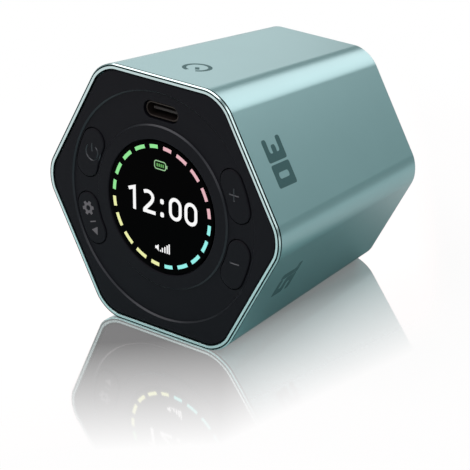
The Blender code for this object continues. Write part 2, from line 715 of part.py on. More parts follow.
def make_cover(material):
    """The rear cover: a hexagon in the sleeve's rear mouth, with a speaker collar, sound holes and screw wells."""
    outline = hexagon(REAR_MOUTH - 2 * FIT_GAP, REAR_MOUTH_CORNER - FIT_GAP)
    cover = plate("rear_cover", [outline], COVER_FRONT, COVER_BACK, material)
    collar_inner = SPEAKER_RADIUS + FIT_GAP
    collar_outer = collar_inner + COLLAR_WALL
    collar_root = COVER_FRONT + SINK
    collar = [
        (collar_outer, SPEAKER_RIM_FRONT),
        (collar_outer, collar_root),
        (collar_inner, collar_root),
        (collar_inner, SPEAKER_RIM_FRONT),
    ]
    boolean(cover, turned("collar", collar, steps=ROUND_STEPS, ring=True), "UNION")
    boolean(cover, make_sound_pins(), "DIFFERENCE")
    well_front = REAR_HEAD_FRONT - FIT_GAP
    well = [
        (0, COVER_FRONT - SINK),
        (SCREW_BORE, COVER_FRONT - SINK),
        (SCREW_BORE, well_front),
        (SCREW_HEAD_BORE, well_front),
        (SCREW_HEAD_BORE, COVER_BACK + SINK),
        (0, COVER_BACK + SINK),
    ]
    for corner in PILLAR_CORNERS:
        place = corner_place(PILLAR_REACH, corner)
        boolean(cover, turned(f"well_cutter_{corner}", well, place=place), "DIFFERENCE")


def make_screws(material):
    """Three screws through frame and board into the panel, and three through the cover into the pillars."""
    board_profile = [
        (0, BOARD_SCREW_TIP),
        (SCREW_RADIUS, BOARD_SCREW_TIP),
        (SCREW_RADIUS, BOARD_HEAD_FRONT),
        (SCREW_HEAD_RADIUS, BOARD_HEAD_FRONT),
        (SCREW_HEAD_RADIUS, BOARD_HEAD_FRONT + SCREW_HEAD_HEIGHT),
        (0, BOARD_HEAD_FRONT + SCREW_HEAD_HEIGHT),
    ]
    rear_profile = [
        (0, REAR_SCREW_TIP),
        (SCREW_RADIUS, REAR_SCREW_TIP),
        (SCREW_RADIUS, REAR_HEAD_FRONT),
        (SCREW_HEAD_RADIUS, REAR_HEAD_FRONT),
        (SCREW_HEAD_RADIUS, COVER_BACK),
        (0, COVER_BACK),
    ]
    for number, corner in enumerate(BOSS_CORNERS, 1):
        turned(f"board_screw_{number}", board_profile, material, corner_place(BOSS_REACH, corner))
    for number, corner in enumerate(PILLAR_CORNERS, 1):
        turned(f"rear_screw_{number}", rear_profile, material, corner_place(PILLAR_REACH, corner))


def make_timer():
    teal_metal = make_material("teal_anodised", (0.26, 0.42, 0.43), 0.35, 0.9)
    black_plastic = make_material("black_plastic", (0.012, 0.014, 0.017), 0.55)
    key_plastic = make_material("key_plastic", (0.014, 0.016, 0.019), 0.5)
    black_glass = make_material("black_glass", (0.003, 0.003, 0.004), 0.08)
    screen = make_material("screen", (0.01, 0.01, 0.012), 0.2)
    film = make_material("ribbon_film", (0.45, 0.22, 0.03), 0.4)
    board = make_material("board_green", (0.02, 0.12, 0.05), 0.45)
    white_plastic = make_material("white_plastic", (0.75, 0.73, 0.68), 0.5)
    chip_resin = make_material("chip_resin", (0.015, 0.015, 0.016), 0.6)
    steel = make_material("steel", (0.55, 0.55, 0.56), 0.3, 1.0)
    frame_plastic = make_material("frame_plastic", (0.05, 0.05, 0.055), 0.6)
    foil = make_material("battery_foil", (0.6, 0.6, 0.62), 0.35, 0.8)
    foam = make_material("grey_foam", (0.08, 0.08, 0.085), 0.95)
    wire = make_material("wire_red", (0.45, 0.02, 0.02), 0.5)

    make_sleeve(teal_metal)
    make_panel(black_plastic)
    make_display(black_glass, screen, film, white_plastic)
    for name, angle in BUTTONS.items():
        make_button(name, angle, key_plastic)
        make_switch(name, angle, steel, chip_resin)
    make_port(steel, chip_resin)
    make_board(board)
    make_on_board("battery_socket", BATTERY_SOCKET, BATTERY_SOCKET_PLACE, white_plastic)
    make_on_board("speaker_socket", SPEAKER_SOCKET, SPEAKER_SOCKET_PLACE, white_plastic)
    make_on_board("processor_chip", PROCESSOR_CHIP, PROCESSOR_PLACE, chip_resin)
    make_on_board("motion_chip", MOTION_CHIP, MOTION_PLACE, chip_resin)
    make_on_board("charger_chip", CHARGER_CHIP, CHARGER_PLACE, chip_resin)
    make_frame(frame_plastic)
    make_battery(foil, foam, wire)
    make_speaker(steel, foam, wire)
    make_cover(black_plastic)
    make_screws(steel)


clear_scene()
PARTS = make_collection("flip_timer")
CUTTERS = make_collection("cutters")
AXIS = make_axis()
make_timer()
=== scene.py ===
"""Dresses the six sided flip timer: its sleeve, face, display, keys, port and rear, and the stage round it.

Pieces are modelled in the face frame, with X to the right, Y up the face and Z out of it towards the viewer,
and are then turned to their place in the timer, which lies on one flat. Lengths are metres.
"""

import json
import math
from contextlib import contextmanager

import bmesh
import bpy
from bpy.props import FloatProperty, FloatVectorProperty, PointerProperty
from bpy.types import Operator, Panel, PropertyGroup
from mathutils import Matrix, Vector


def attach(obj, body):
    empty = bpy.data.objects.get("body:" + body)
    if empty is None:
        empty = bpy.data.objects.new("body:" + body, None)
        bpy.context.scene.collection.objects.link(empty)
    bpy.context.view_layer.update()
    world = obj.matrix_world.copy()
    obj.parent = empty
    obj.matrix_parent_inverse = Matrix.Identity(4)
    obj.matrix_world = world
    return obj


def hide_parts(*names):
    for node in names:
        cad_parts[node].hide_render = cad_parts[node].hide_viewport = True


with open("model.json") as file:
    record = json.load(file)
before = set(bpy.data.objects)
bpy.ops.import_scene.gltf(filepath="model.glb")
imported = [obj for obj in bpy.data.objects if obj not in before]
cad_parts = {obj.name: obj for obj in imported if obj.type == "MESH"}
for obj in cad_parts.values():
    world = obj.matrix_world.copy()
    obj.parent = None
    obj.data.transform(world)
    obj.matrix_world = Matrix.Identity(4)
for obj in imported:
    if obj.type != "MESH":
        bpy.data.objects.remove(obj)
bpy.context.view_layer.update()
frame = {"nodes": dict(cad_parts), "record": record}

bl_info = {
    "name": "Flip timer",
    "version": (1, 0, 0),
    "blender": (4, 5, 0),
    "location": "View3D > Sidebar > Flip timer",
    "description": "Models the pieces of a six sided flip timer and sets its stage",
    "category": "Object",
}

# Sleeve
FRONT_FLATS = 0.0580
REAR_FLATS = 0.0494
DEPTH = 0.0532
FRONT_REACH = 0.026344
CORNER = 0.0087
WALL = 0.0020
CHAMFER = 0.0005
LIP = 0.00068
FACET = 0.00026
SCORE_WIDTH = 0.00024
SCORE_DEPTH = 0.00005
SCORE_WALL = 0.00008
LIP_SINK = 0.00014
LIP_EDGE = 0.00008
LIP_SLOPE = 0.00014
REAR_CHAMFER = 0.0004
REAR_LIP = 0.0006
FRONT_LEDGE = 0.0036
REAR_LEDGE = 0.0506

# Marks on the flats
MARK_HEIGHT = 0.0062
MARK_HALF = 0.0020
MARK_STRETCH = 1.25
MARK_SOFTNESS = 1 / 3.4
MARK_FILL = 7 / 8
CLOCK_PLACE = (0.0006, 0.0116)
CLOCK_RADIUS = 0.00275
CLOCK_SWEEP = (-58, 262)
CLOCK_HAND = [(-0.0001, 0.0001), (0.0011, -0.0013)]
# Each number's flat, its foot behind the front plane, and its digits with their middles before the stretch
FLAT_MARKS = (
    (30, 0.0059, {"3": -0.0019, "0": 0.0025}),
    (-30, 0.0085, {"1": -0.0024, "5": 0.0004}),
    (-90, 0.0056, {"5": 0.0}),
    (-150, 0.0056, {"1": -0.0021, "0": 0.0012}),
    (150, 0.0056, {"6": -0.00219, "0": 0.00219}),
)

# Face, as depths behind the front plane and radii round the axis
PANEL_FLATS = 0.0552
PANEL_CORNER = 0.0073
PANEL_FRONT = 0.0003
PANEL_BACK = 0.0033
CHANNEL_FLOOR = 0.0007
CHANNEL_INNER = 0.0181
CHANNEL_OUTER = 0.0251
CHANNEL_MIDDLE = (CHANNEL_INNER + CHANNEL_OUTER) / 2
RIM_BAND = 0.001
SEAT_RADIUS = 0.0148
SEAT_DEPTH = 0.0016
VIEW_RADIUS = 0.0140
WEB_BACK = 0.0021
POCKET_RADIUS = 0.0161
BOSS_RADIUS = 0.0022
BOSS_BORE = 0.0013
BOSS_REACH = 0.02607
BOSS_BACK = 0.0094
BOSS_FLOOR = 0.0057
WINDOW_RADIUS = 0.0145
WINDOW_BACK = 0.0013
WINDOW_EDGE = 0.00015
WINDOW_INSET = 0.0003

# Keys
KEY_HALF_WIDTH = 0.0030
KEY_HALF_SWEEP = 0.13194
KEY_GAP = 0.0002
KEY_FRONT = 0.00045
FLANGE_FRONT = 0.0036
FLANGE_BACK = 0.0044
FLANGE_OVERHANG = 0.0008
STEM_RADIUS = 0.0013
STEM_BACK = 0.0054
KEY_ANGLES = {"plus": 20.5, "minus": -20.5, "power": 159.5, "mode": 200.5}

# Signs on the keys: spots as radius and angle on the face, and the gear's tooth as angle and reach
SIGN_SPOTS = {"power": (0.0210, 158.6), "plus": (0.0213, 21.5), "minus": (0.0212, -20.0)}
SIGN_VEE = 0.46
SIGN_REACH = 0.8 * KEY_HALF_WIDTH
GEAR_SPOT = (0.0217, -165.5)
GEAR_TOOTH = ((-20, 0.00115), (-12, 0.00165), (12, 0.00165), (20, 0.00115))
GEAR_START = 12
GEAR_HUB = 0.00065
BAR_SIGN = [(-0.0205, -0.0085), (-0.0189, -0.0080)]
BAR_STROKE = 0.00026
TRIANGLE_SIGN = [(-0.0201, -0.0102), (-0.0184, -0.0111), (-0.0184, -0.0092)]

# Charging port
PORT_HEIGHT_UP = 0.0211
PORT_SLOT = (0.00954, 0.00386)
PORT_SHELL = (0.00894, 0.00326)
PORT_WALL = 0.0003
PORT_EDGE = 0.00006
PORT_FRONT = 0.0012
PORT_FLOOR = 0.0084
PORT_BACK = 0.0094
TONGUE = (0.0067, 0.0007)
TONGUE_EDGE = 0.00018
TONGUE_FRONT = 0.0022
TONGUE_BACK = 0.0081

# Rear
COVER_FLATS = 0.0468
COVER_CORNER = 0.00611
COVER_FRONT = 0.0509
COVER_BACK = 0.0529
REAR_EDGE = 0.0003
COLLAR_FRONT = 0.0480
COLLAR_INNER = 0.0103
COLLAR_OUTER = 0.0115
SOUND_RADIUS = 0.0006
SOUND_PITCH = 0.0024
SOUND_FLARE = 1.4
SOUND_SLOPE = 0.00025
PILLAR_REACH = 0.02226
WELL_RADIUS = 0.0022
WELL_FLOOR = 0.0514
WELL_BORE = 0.0013
SCREW_HEAD = 0.0019
SCREW_SHANK = 0.0010
SCREW_HEAD_FRONT = 0.0517
SCREW_TIP = 0.0457
DRIVE_HALF = 0.0011
DRIVE_WIDTH = 0.0005

# Display picture, as distances right of and above the face's middle, with boxes by left, foot, right and top
RING_INNER = 0.01285
RING_OUTER = 0.01367
RING_DASHES = (9.6, 12.7, 12.7, 12.7, 9.6)
RING_GAP = 6.54
DIGIT_STROKE = 0.00078
PICTURE_SHIFT = (0.00015, 0.0002)
ONE = [(-0.0091, 0.0021), (-0.00751, 0.0027), (-0.00751, -0.0023)]
TWO_BOW = [
    *((-0.0048, 0.00238), (-0.0042, 0.0026), (-0.0036, 0.00266), (-0.0030, 0.00252), (-0.0025, 0.0021)),
    *((-0.0023, 0.0016), (-0.00237, 0.00105), (-0.0026, 0.0006), (-0.00305, 0.00005), (-0.0047, -0.0016)),
]
TWO_FOOT = [(-0.00507, -0.00186), (-0.0016, -0.00186)]
ZERO_HALF = 0.00136
ZERO_TOP = 0.0026
ZERO_FOOT = -0.00176
ZERO_MIDDLES = (0.00392, 0.00821)
DOT_RIGHT = 0.00025
DOT_HEIGHTS = (0.00126, -0.00168)
DOT_HALF = 0.00055
DOT_WIDTH = 0.00098
DOT_ROUNDING = 0.0003
BATTERY_BOX = (-0.00168, 0.00838, 0.00138, 0.01014)
BATTERY_LINE = 0.00022
BATTERY_ROUNDING = 0.0005
CHARGE_GROUND = (-0.0013, 0.0089, 0.0010, 0.0097)
CHARGE_BARS = (-0.00095, -0.0004, 0.00015, 0.0007)
CHARGE_ENDS = (0.0089, 0.0096)
CHARGE_WIDTH = 0.0003
BATTERY_NUB = 0.0017
HORN_MIDDLE = -0.0094
HORN_UNIT = 0.0003
# The horn's corners, each by its distance right and by how many units it is over the horn's middle
HORN = [(-0.0018, -1), (-0.0014, -1), (-0.00085, -2.5), (-0.00085, 2.5), (-0.0014, 1), (-0.0018, 1)]
VOLUME_BARS = {-0.00035: -0.0098, 0.0002: -0.0092, 0.0009: -0.0088, 0.00155: -0.0083, 0.0021: -0.0079}
VOLUME_FOOT = -0.01015
VOLUME_WIDTH = 0.00034

CORNER_STEPS = 10
ROUND_STEPS = 128
SMALL_STEPS = 40
BEVEL_SHARE = 0.9152
SINK = 0.0005
WELD = 1e-6
SHARP = math.radians(30)
COS30 = math.cos(math.pi / 6)
TAN30 = math.tan(math.pi / 6)

TILT = math.atan((FRONT_FLATS - REAR_FLATS) / 2 / DEPTH)
LEAN = Matrix.Rotation(-TILT, 4, "X")
AXIS = Matrix.Translation((0, -FRONT_REACH, FRONT_FLATS / 2 * math.cos(TILT))) @ LEAN
FACE = AXIS @ Matrix.Rotation(math.pi / 2, 4, "X")


def length(name, description, default):
    return FloatProperty(name=name, description=description, default=default, unit="LENGTH")


def angle(name, description, degrees):
    default = math.radians(degrees)
    return FloatProperty(name=name, description=description, default=default, subtype="ANGLE")


def paint(name, description, *default):
    return FloatVectorProperty(name=name, description=description, default=default, subtype="COLOR")


class TimerSizes(PropertyGroup):
    """Small sizes of the timer's finish."""

    edge: length("Edge", "Softness of the sleeve's rear edges", 0.0001)
    channel_edge: length("Channel edge", "Width of the channel's sloped rims", 0.00032)
    key_edge: length("Key edge", "Softness of the keys' edges", 0.0003)
    sign_depth: length("Sign depth", "Depth of the signs cut into the keys", 0.00022)
    sign_stroke: length("Sign stroke", "Width of the signs' lines", 0.00040)
    groove: length("Rim groove", "Width of the fine grooves beside the bright rim", 0.00022)
    mark_stroke: length("Mark stroke", "Width of the lines of the flats' numbers", 0.00145)
    clock_stroke: length("Clock stroke", "Width of the lines of the clock sign", 0.00092)
    mark_depth: length("Mark depth", "Depth of the flats' filled numbers", 0.00004)
    picture_lift: length("Picture lift", "Height of the lit picture over the window", 0.00002)
    drive_depth: length("Drive depth", "Depth of the screws' cross recess", 0.0007)


class TimerColours(PropertyGroup):
    """Colours of the timer's finishes."""

    sleeve: paint("Sleeve", "Anodised sleeve", 0.295, 0.515, 0.53)
    cut: paint("Cut edge", "Bright machined rim", 0.46, 0.63, 0.63)
    lip: paint("Lip", "Flat lip round the face", 0.55, 0.68, 0.68)
    # The grooves' colour is painted shade: far darker than the sleeve, it stands in for the shade inside the
    # fine grooves beside the rim.
    groove: paint("Grooves", "Fine grooves beside the bright rim", 0.006, 0.022, 0.022)
    ink: paint("Marks", "Numbers on the flats", 0.055, 0.14, 0.145)
    face: paint("Face", "Face panel and rear cover", 0.0035, 0.0037, 0.0060)
    key: paint("Keys", "Keys", 0.0036, 0.0039, 0.0062)
    sign: paint("Signs", "Printed signs on the mode key", 0.10, 0.10, 0.11)
    window: paint("Window", "Display window", 0.0003, 0.0003, 0.0004)
    digits: paint("Digits", "Lit digits", 1.0, 1.0, 1.0)
    pink: paint("Pink", "Lit ring, first quarter", 0.82, 0.48, 0.53)
    cyan: paint("Cyan", "Lit ring, second quarter", 0.32, 0.92, 0.86)
    yellow: paint("Yellow", "Lit ring, third quarter", 0.88, 0.91, 0.43)
    mint: paint("Mint", "Lit outline of the charge sign", 0.34, 0.60, 0.32)
    leaf: paint("Leaf", "Lit bars of the charge sign", 0.16, 0.45, 0.13)
    moss: paint("Moss", "Lit ground of the charge sign", 0.005, 0.05, 0.004)
    green: paint("Green", "Lit ring, last quarter", 0.30, 0.83, 0.32)


class TimerStage(PropertyGroup):
    """Camera, floor and light."""

    azimuth: angle("Azimuth", "Camera's turn round the timer", 39.976)
    elevation: angle("Elevation", "Camera's height as an angle", 22.464)
    lens: FloatProperty(name="Lens", description="Focal length in millimetres", default=184.864)
    place: FloatVectorProperty(
        name="Camera place",
        description="Camera's place along the timer's axes",
        default=(0.312445, -0.348217, 0.187286),
        unit="LENGTH",
    )
    floor_size: length("Floor", "Side of the floor", 3.0)
    ambient: FloatProperty(name="Ambient", description="Strength of the even light", default=0.40)


# Tools for modelling


def choose(obj):
    """Makes obj the only selected object and the active one."""
    bpy.ops.object.select_all(action="DESELECT")
    obj.select_set(True)
    bpy.context.view_layer.objects.active = obj


def named(obj, name):
    obj.name = name
    obj.data.name = name
    return obj


def add(name, primitive, **settings):
    """Adds a primitive with its place in its mesh."""
    bpy.ops.object.select_all(action="DESELECT")
    primitive(**settings)
    bpy.ops.object.transform_apply(location=True, rotation=True, scale=True)
    return named(bpy.context.object, name)


@contextmanager
def editing(obj):
    choose(obj)
    bpy.ops.object.mode_set(mode="EDIT")
    yield
    bpy.ops.object.mode_set(mode="OBJECT")


def pick(kind, test):
    """Selects the vertices, edges or faces in edit mode that pass a test, and nothing else."""
    bpy.ops.mesh.select_mode(type=kind)
    bpy.ops.mesh.select_all(action="DESELECT")
    mesh = bpy.context.edit_object.data
    bm = bmesh.from_edit_mesh(mesh)
    bm.normal_update()
    for item in {"VERT": bm.verts, "EDGE": bm.edges, "FACE": bm.faces}[kind]:
        if test(item):
            item.select_set(True)
    bmesh.update_edit_mesh(mesh)


def facing(way):
    """Selects the faces in edit mode that look straight out of the face, 1, or to the rear, -1."""
    pick("FACE", lambda face: face.normal.z * way > 0.99)


def every(kind):
    bpy.ops.mesh.select_mode(type=kind)
    bpy.ops.mesh.select_all(action="SELECT")


def push(x, y, z):
    """Extrudes what is selected and moves it."""
    bpy.ops.mesh.extrude_region_move(TRANSFORM_OT_translate={"value": (x, y, z)})


def scale(factor):
    bpy.ops.transform.resize(value=(factor, factor, 1), center_override=(0, 0, 0))


def step_cap(factor, z):
    """Widens or narrows the selected cap at its height and then pushes it on."""
    push(0, 0, 0)
    scale(factor)
    push(0, 0, z)


def outward():
    """Turns every face of the piece in edit mode outwards."""
    every("FACE")
    bpy.ops.mesh.normals_make_consistent(inside=False)


def thicken(rise):
    """Raises the flat piece in edit mode into a solid."""
    every("FACE")
    push(0, 0, rise)
    outward()


def level(edge, height):
    return all(abs(vert.co.z - height) < WELD for vert in edge.verts)


def round_axis(edge, radius):
    return all(abs(vert.co.xy.length - radius) < 9 * WELD for vert in edge.verts)


def inset(thickness, depth=0.0):
    bpy.ops.mesh.inset(thickness=thickness, depth=depth)


def bevel(width, segments):
    bpy.ops.mesh.bevel(offset=width, segments=segments)


def soften(height, width, segments):
    """Bevels the edges in edit mode that lie at a height."""
    pick("EDGE", lambda edge: level(edge, height))
    bevel(width, segments)


def apply(obj, kind, **settings):
    """Adds a modifier and applies it."""
    modifier = obj.modifiers.new(kind.title(), kind)
    for name, value in settings.items():
        setattr(modifier, name, value)
    choose(obj)
    bpy.ops.object.modifier_apply(modifier=modifier.name)


def carve(obj, tool, operation="DIFFERENCE"):
    """Cuts the tool from obj, or joins it on, and removes the tool."""
    apply(obj, "BOOLEAN", object=tool, operation=operation, solver="EXACT")
    mesh = tool.data
    bpy.data.objects.remove(tool)
    bpy.data.meshes.remove(mesh)


def move(obj, matrix):
    choose(obj)
    obj.matrix_world = matrix
    bpy.ops.object.transform_apply(location=True, rotation=True, scale=True)
    return obj


def copy(obj, name, matrix):
    choose(obj)
    bpy.ops.object.duplicate(linked=False)
    return move(named(bpy.context.object, name), matrix)


def join(name, pieces):
    choose(pieces[0])
    for piece in pieces[1:]:
        piece.select_set(True)
    bpy.ops.object.join()
    return named(bpy.context.object, name)


def weld(name, pieces):
    """One closed solid of pieces that overlap."""
    for piece in pieces[1:]:
        carve(pieces[0], piece, "UNION")
    return named(pieces[0], name)


def finish(obj, body, labels, replaces=(), place=FACE):
    """Puts a modelled piece in its place, smooths it between its sharp edges, and hangs it on its body."""
    move(obj, place)
    bpy.ops.object.shade_smooth_by_angle(angle=SHARP)
    apply(obj, "WEIGHTED_NORMAL", keep_sharp=True, weight=100)
    for label in labels:
        obj.data.materials.append(material(label))
    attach(obj, body)
    if replaces:
        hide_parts(*replaces)


def at(x, y, z=0.0):
    return Matrix.Translation((x, y, z))


def spun(degrees):
    """A turn round the face's axis."""
    return Matrix.Rotation(math.radians(degrees), 4, "Z")


def polar(radius, degrees, centre=(0, 0)):
    turn = math.radians(degrees)
    return centre[0] + radius * math.cos(turn), centre[1] + radius * math.sin(turn)


def arc(radius, start, end, steps):
    return [polar(radius, start + (end - start) * step / steps) for step in range(steps + 1)]


def corners(left, foot, right, top):
    return [(left, foot), (right, foot), (right, top), (left, top)]


def disc(name, radius, steps, place, turn=0.0):
    """A flat disc or even polygon."""
    settings = {"vertices": steps, "radius": radius, "location": place, "rotation": (0, 0, turn)}
    return add(name, bpy.ops.mesh.primitive_circle_add, fill_type="NGON", **settings)


def hexagon(name, flats, corner, height):
    """A flat hexagon with rounded corners and a side up."""
    reach = flats / 2 / COS30
    obj = disc(name, reach, 6, (0, 0, height), math.pi / 6)
    share = 100 * BEVEL_SHARE * corner * TAN30 / reach
    with editing(obj):
        every("VERT")
        bpy.ops.mesh.bevel(offset_type="PERCENT", offset_pct=share, segments=CORNER_STEPS, affect="VERTICES")
    return obj


def thick_hexagon(name, flats, corner, front, back):
    """A hexagonal plate between two depths."""
    obj = hexagon(name, flats, corner, -back)
    with editing(obj):
        thicken(back - front)
    return obj


def drum(name, radius, front, back, steps, centre=(0, 0)):
    """A round bar between two depths, to be shaped further."""
    settings = {"vertices": steps, "radius": radius, "depth": back - front}
    place = (*centre, -(front + back) / 2)
    return add(name, bpy.ops.mesh.primitive_cylinder_add, location=place, **settings)


def tube(name, outer, inner, front, back):
    """A round bar with a bore between two depths."""
    obj = drum(name, outer, front, back, ROUND_STEPS)
    with editing(obj):
        pick("FACE", lambda face: abs(face.normal.z) > 0.9)
        inset(outer - inner)
        bpy.ops.mesh.bridge_edge_loops()
    return obj


def capsule(name, width, height, front, back, centre):
    """A slot shaped bar between two depths: a plate whose corners are rounded into half circles."""
    obj = add(name, bpy.ops.mesh.primitive_plane_add, size=1, location=(0, 0, 0))
    move(obj, at(*centre, -back) @ Matrix.Diagonal((width, height, 1, 1)))
    with editing(obj):
        every("VERT")
        reach = height / 2 - WELD
        bpy.ops.mesh.bevel(offset_type="ABSOLUTE", offset=reach, segments=CORNER_STEPS, affect="VERTICES")
        every("VERT")
        bpy.ops.mesh.remove_doubles(threshold=4 * WELD)
        thicken(back - front)
    return obj


def trace(points):
    """Turns the small plane in edit mode into a chain of edges along points."""
    every("VERT")
    bpy.ops.mesh.merge(type="CENTER")
    for start, end in zip(points, points[1:]):
        push(end[0] - start[0], end[1] - start[1], 0)


def stroke(points, width, low, high, rounding=0.0, closed=False, soft=0.0, vee=0.0):
    """A line of one width along points between two heights.

    Its bends can be rounded, its ends joined, its upright edges softened and its foot narrowed to a vee.
    """
    obj = add("line", bpy.ops.mesh.primitive_plane_add, size=width, location=(*points[0], low))
    with editing(obj):
        trace([*points, points[0]] if closed else points)
        if closed:
            every("VERT")
            bpy.ops.mesh.remove_doubles(threshold=WELD)
        if rounding:
            pick("VERT", lambda vert: len(vert.link_edges) == 2)
            bpy.ops.mesh.bevel(offset_type="ABSOLUTE", offset=rounding, segments=6, affect="VERTICES")
        every("EDGE")
        push(0, 0, high - low)
        outward()
    apply(obj, "SOLIDIFY", thickness=width, offset=0, use_even_offset=True)
    with editing(obj):
        outward()
        if soft:
            pick("EDGE", lambda edge: abs(edge.verts[0].co.z - edge.verts[1].co.z) > WELD)
            bevel(soft, 2)
        if vee:
            pick("EDGE", lambda edge: level(edge, low) and edge.calc_face_angle(0) > 1)
            bevel(vee, 1)
    return obj


def patch(points, low, high):
    """A flat patch with straight sides between two heights, traced corner by corner."""
    obj = add("patch", bpy.ops.mesh.primitive_plane_add, size=WELD, location=(*points[0], low))
    with editing(obj):
        trace(points)
        every("VERT")
        bpy.ops.mesh.edge_face_add()
        thicken(high - low)
    return obj


# Materials


class Wire:
    """One socket among a material's nodes. Sums and products with it add Math nodes."""

    def __init__(self, tree, socket=None):
        self.tree = tree
        self.socket = socket

    def node(self, kind, sockets=None, output=0, **settings):
        """Adds a node: its settings first, then its sockets' values or links. Gives one of its outputs."""
        node = self.tree.nodes.new(kind)
        for name, value in settings.items():
            setattr(node, name, value)
        for key, value in (sockets or {}).items():
            if isinstance(value, Wire):
                self.tree.links.new(value.socket, node.inputs[key])
            else:
                node.inputs[key].default_value = value
        return Wire(self.tree, node.outputs[output] if node.outputs else None)

    def outputs(self, kind, names, sockets=None):
        """Adds a node and gives several of its outputs."""
        node = self.node(kind, sockets).socket.node
        return [Wire(self.tree, node.outputs[name]) for name in names]

    def math(self, operation, *values):
        return self.node("ShaderNodeMath", dict(enumerate(values)), operation=operation)

    def __add__(self, other):
        return self.math("ADD", self, other)

    def __rsub__(self, other):
        return self.math("SUBTRACT", other, self)

    def __mul__(self, other):
        return self.math("MULTIPLY", self, other)

    def between(self, low, high):
        """0 below low and 1 above high, smooth between."""
        sockets = {"Value": self, "From Min": low, "From Max": high}
        return self.node("ShaderNodeMapRange", sockets, interpolation_type="SMOOTHSTEP")

    def mix(self, first, second):
        """The colour between two by this value."""
        return self.node("ShaderNodeMix", {0: self, 6: first, 7: second}, output=2, data_type="RGBA")

    def tone(self, colour, low, high):
        """The colour between two shades of one by this value."""
        return self.mix(shade(colour, low), shade(colour, high))

    def blend(self, first, second):
        """The shader between two by this value."""
        return self.node("ShaderNodeMixShader", {0: self, 1: first, 2: second})

    def place(self, turn=(0, 0, 0), stretch=(1, 1, 1)):
        """Object coordinates, turned and stretched."""
        spot = self.node("ShaderNodeTexCoord", output="Object")
        return self.node("ShaderNodeMapping", {"Vector": spot, "Rotation": turn, "Scale": stretch})

    def noise(self, size, detail=2.0, spot=None):
        sockets = {"Vector": spot or self.place(), "Scale": 1 / size, "Detail": detail}
        return self.node("ShaderNodeTexNoise", sockets)

    def bump(self, strength, distance):
        """The normal of a surface with this height."""
        return self.node("ShaderNodeBump", {"Height": self, "Strength": strength, "Distance": distance})

    def surface(self, **sockets):
        names = {name.replace("_", " "): value for name, value in sockets.items()}
        return self.node("ShaderNodeBsdfPrincipled", names)


def shade(colour, factor):
    return (*(min(1.0, channel * factor) for channel in colour), 1.0)


def grey(value):
    return (value, value, value, 1.0)


WHITE = grey(1.0)
COOL = (0.82, 0.93, 1.0, 1.0)
FINE_BUMP = 0.00001
ON_FACE = (TILT - math.pi / 2, 0, 0)


def anodised(start, colour):
    """Satin anodised aluminium with a fine blasted grain."""
    grain = start.noise(0.00012, 3.0)
    cloud = start.noise(0.012)
    return start.surface(
        Base_Color=(grain * 0.5 + cloud * 0.5).tone(colour, 0.94, 1.06),
        Metallic=1.0,
        Roughness=grain * 0.06 + 0.27,
        Normal=grain.bump(0.10, FINE_BUMP),
    )


def cut_metal(start, colour):
    """The bright rim left by a turning tool, with fine marks along it."""
    marks = start.noise(0.0004, 3.0, start.place(stretch=(1, 6, 6)))
    return start.surface(
        Base_Color=marks.tone(colour, 0.93, 1.05),
        Metallic=1.0,
        Roughness=marks * 0.08 + 0.16,
        Normal=marks.bump(0.05, FINE_BUMP),
    )


def filled_ink(start, colour):
    """Dark filling of the numbers on the flats."""
    grain = start.noise(0.0002, 3.0)
    return start.surface(
        Base_Color=grain.tone(colour, 0.9, 1.1),
        Metallic=0.5,
        Roughness=grain * 0.1 + 0.5,
        Specular_IOR_Level=0.2,
        Normal=grain.bump(0.1, FINE_BUMP),
    )


def moulded(start, colour, roughness, specular, tint=WHITE):
    """Moulded plastic with a fine spark grain."""
    grain = start.noise(0.00025, 3.0)
    cloud = start.noise(0.009)
    return start.surface(
        Base_Color=(grain * 0.6 + cloud * 0.4).tone(colour, 0.85, 1.15),
        Roughness=grain * 0.14 + (roughness - 0.07),
        Specular_IOR_Level=specular,
        Specular_Tint=tint,
        Normal=grain.bump(0.12, 2 * FINE_BUMP),
    )


def black_window(start, colour):
    """Dark window with an anti glare coat."""
    haze = start.noise(0.006)
    return start.surface(
        Base_Color=haze.tone(colour, 0.8, 1.2),
        Roughness=haze * 0.08 + 0.14,
        Specular_IOR_Level=0.01,
    )


def lit(start, colour):
    """Lit dots of the display: a fine grid of pixels in one colour."""
    ways = start.outputs("ShaderNodeSeparateXYZ", "XY", {0: start.place(turn=ON_FACE)})
    across, up = (start.math("PINGPONG", way, 0.00006) for way in ways)
    dot = start.math("MINIMUM", across, up).between(0.0, 0.00002)
    return start.surface(
        Base_Color=(0.0, 0.0, 0.0, 1.0),
        Roughness=0.4,
        Specular_IOR_Level=0.0,
        Emission_Color=dot.tone(colour, 0.86, 1.0),
        Emission_Strength=1.0,
    )


def steel(start, colour, roughness):
    """Plain drawn steel."""
    marks = start.noise(0.0008, 3.0, start.place(stretch=(1, 1, 8)))
    return start.surface(
        Base_Color=marks.tone(colour, 0.85, 1.1),
        Metallic=1.0,
        Roughness=marks * 0.15 + roughness,
        Normal=marks.bump(0.05, FINE_BUMP),
    )


def board_mask(start, colour, copper):
    """Solder mask over a web of copper tracks."""
    spot = start.place(turn=ON_FACE)
    web = {"Vector": spot, "Scale": 420.0, "Mortar Size": 0.03}
    tracks = start.node("ShaderNodeTexBrick", web, output="Fac")
    grain = start.noise(0.0006, spot=spot)
    return start.surface(
        Base_Color=(tracks * 0.8 + grain * 0.2).mix(shade(colour, 1.0), shade(copper, 1.0)),
        Roughness=grain * 0.1 + 0.35,
        Coat_Weight=0.3,
        Normal=tracks.bump(0.2, 3 * FINE_BUMP),
    )


def foil(start, colour):
    """Creased foil pouch."""
    creases = start.noise(0.003, 5.0)
    return start.surface(
        Base_Color=creases.tone(colour, 0.85, 1.05),
        Metallic=0.9,
        Roughness=creases * 0.2 + 0.25,
        Normal=creases.bump(0.4, 0.0002),
    )


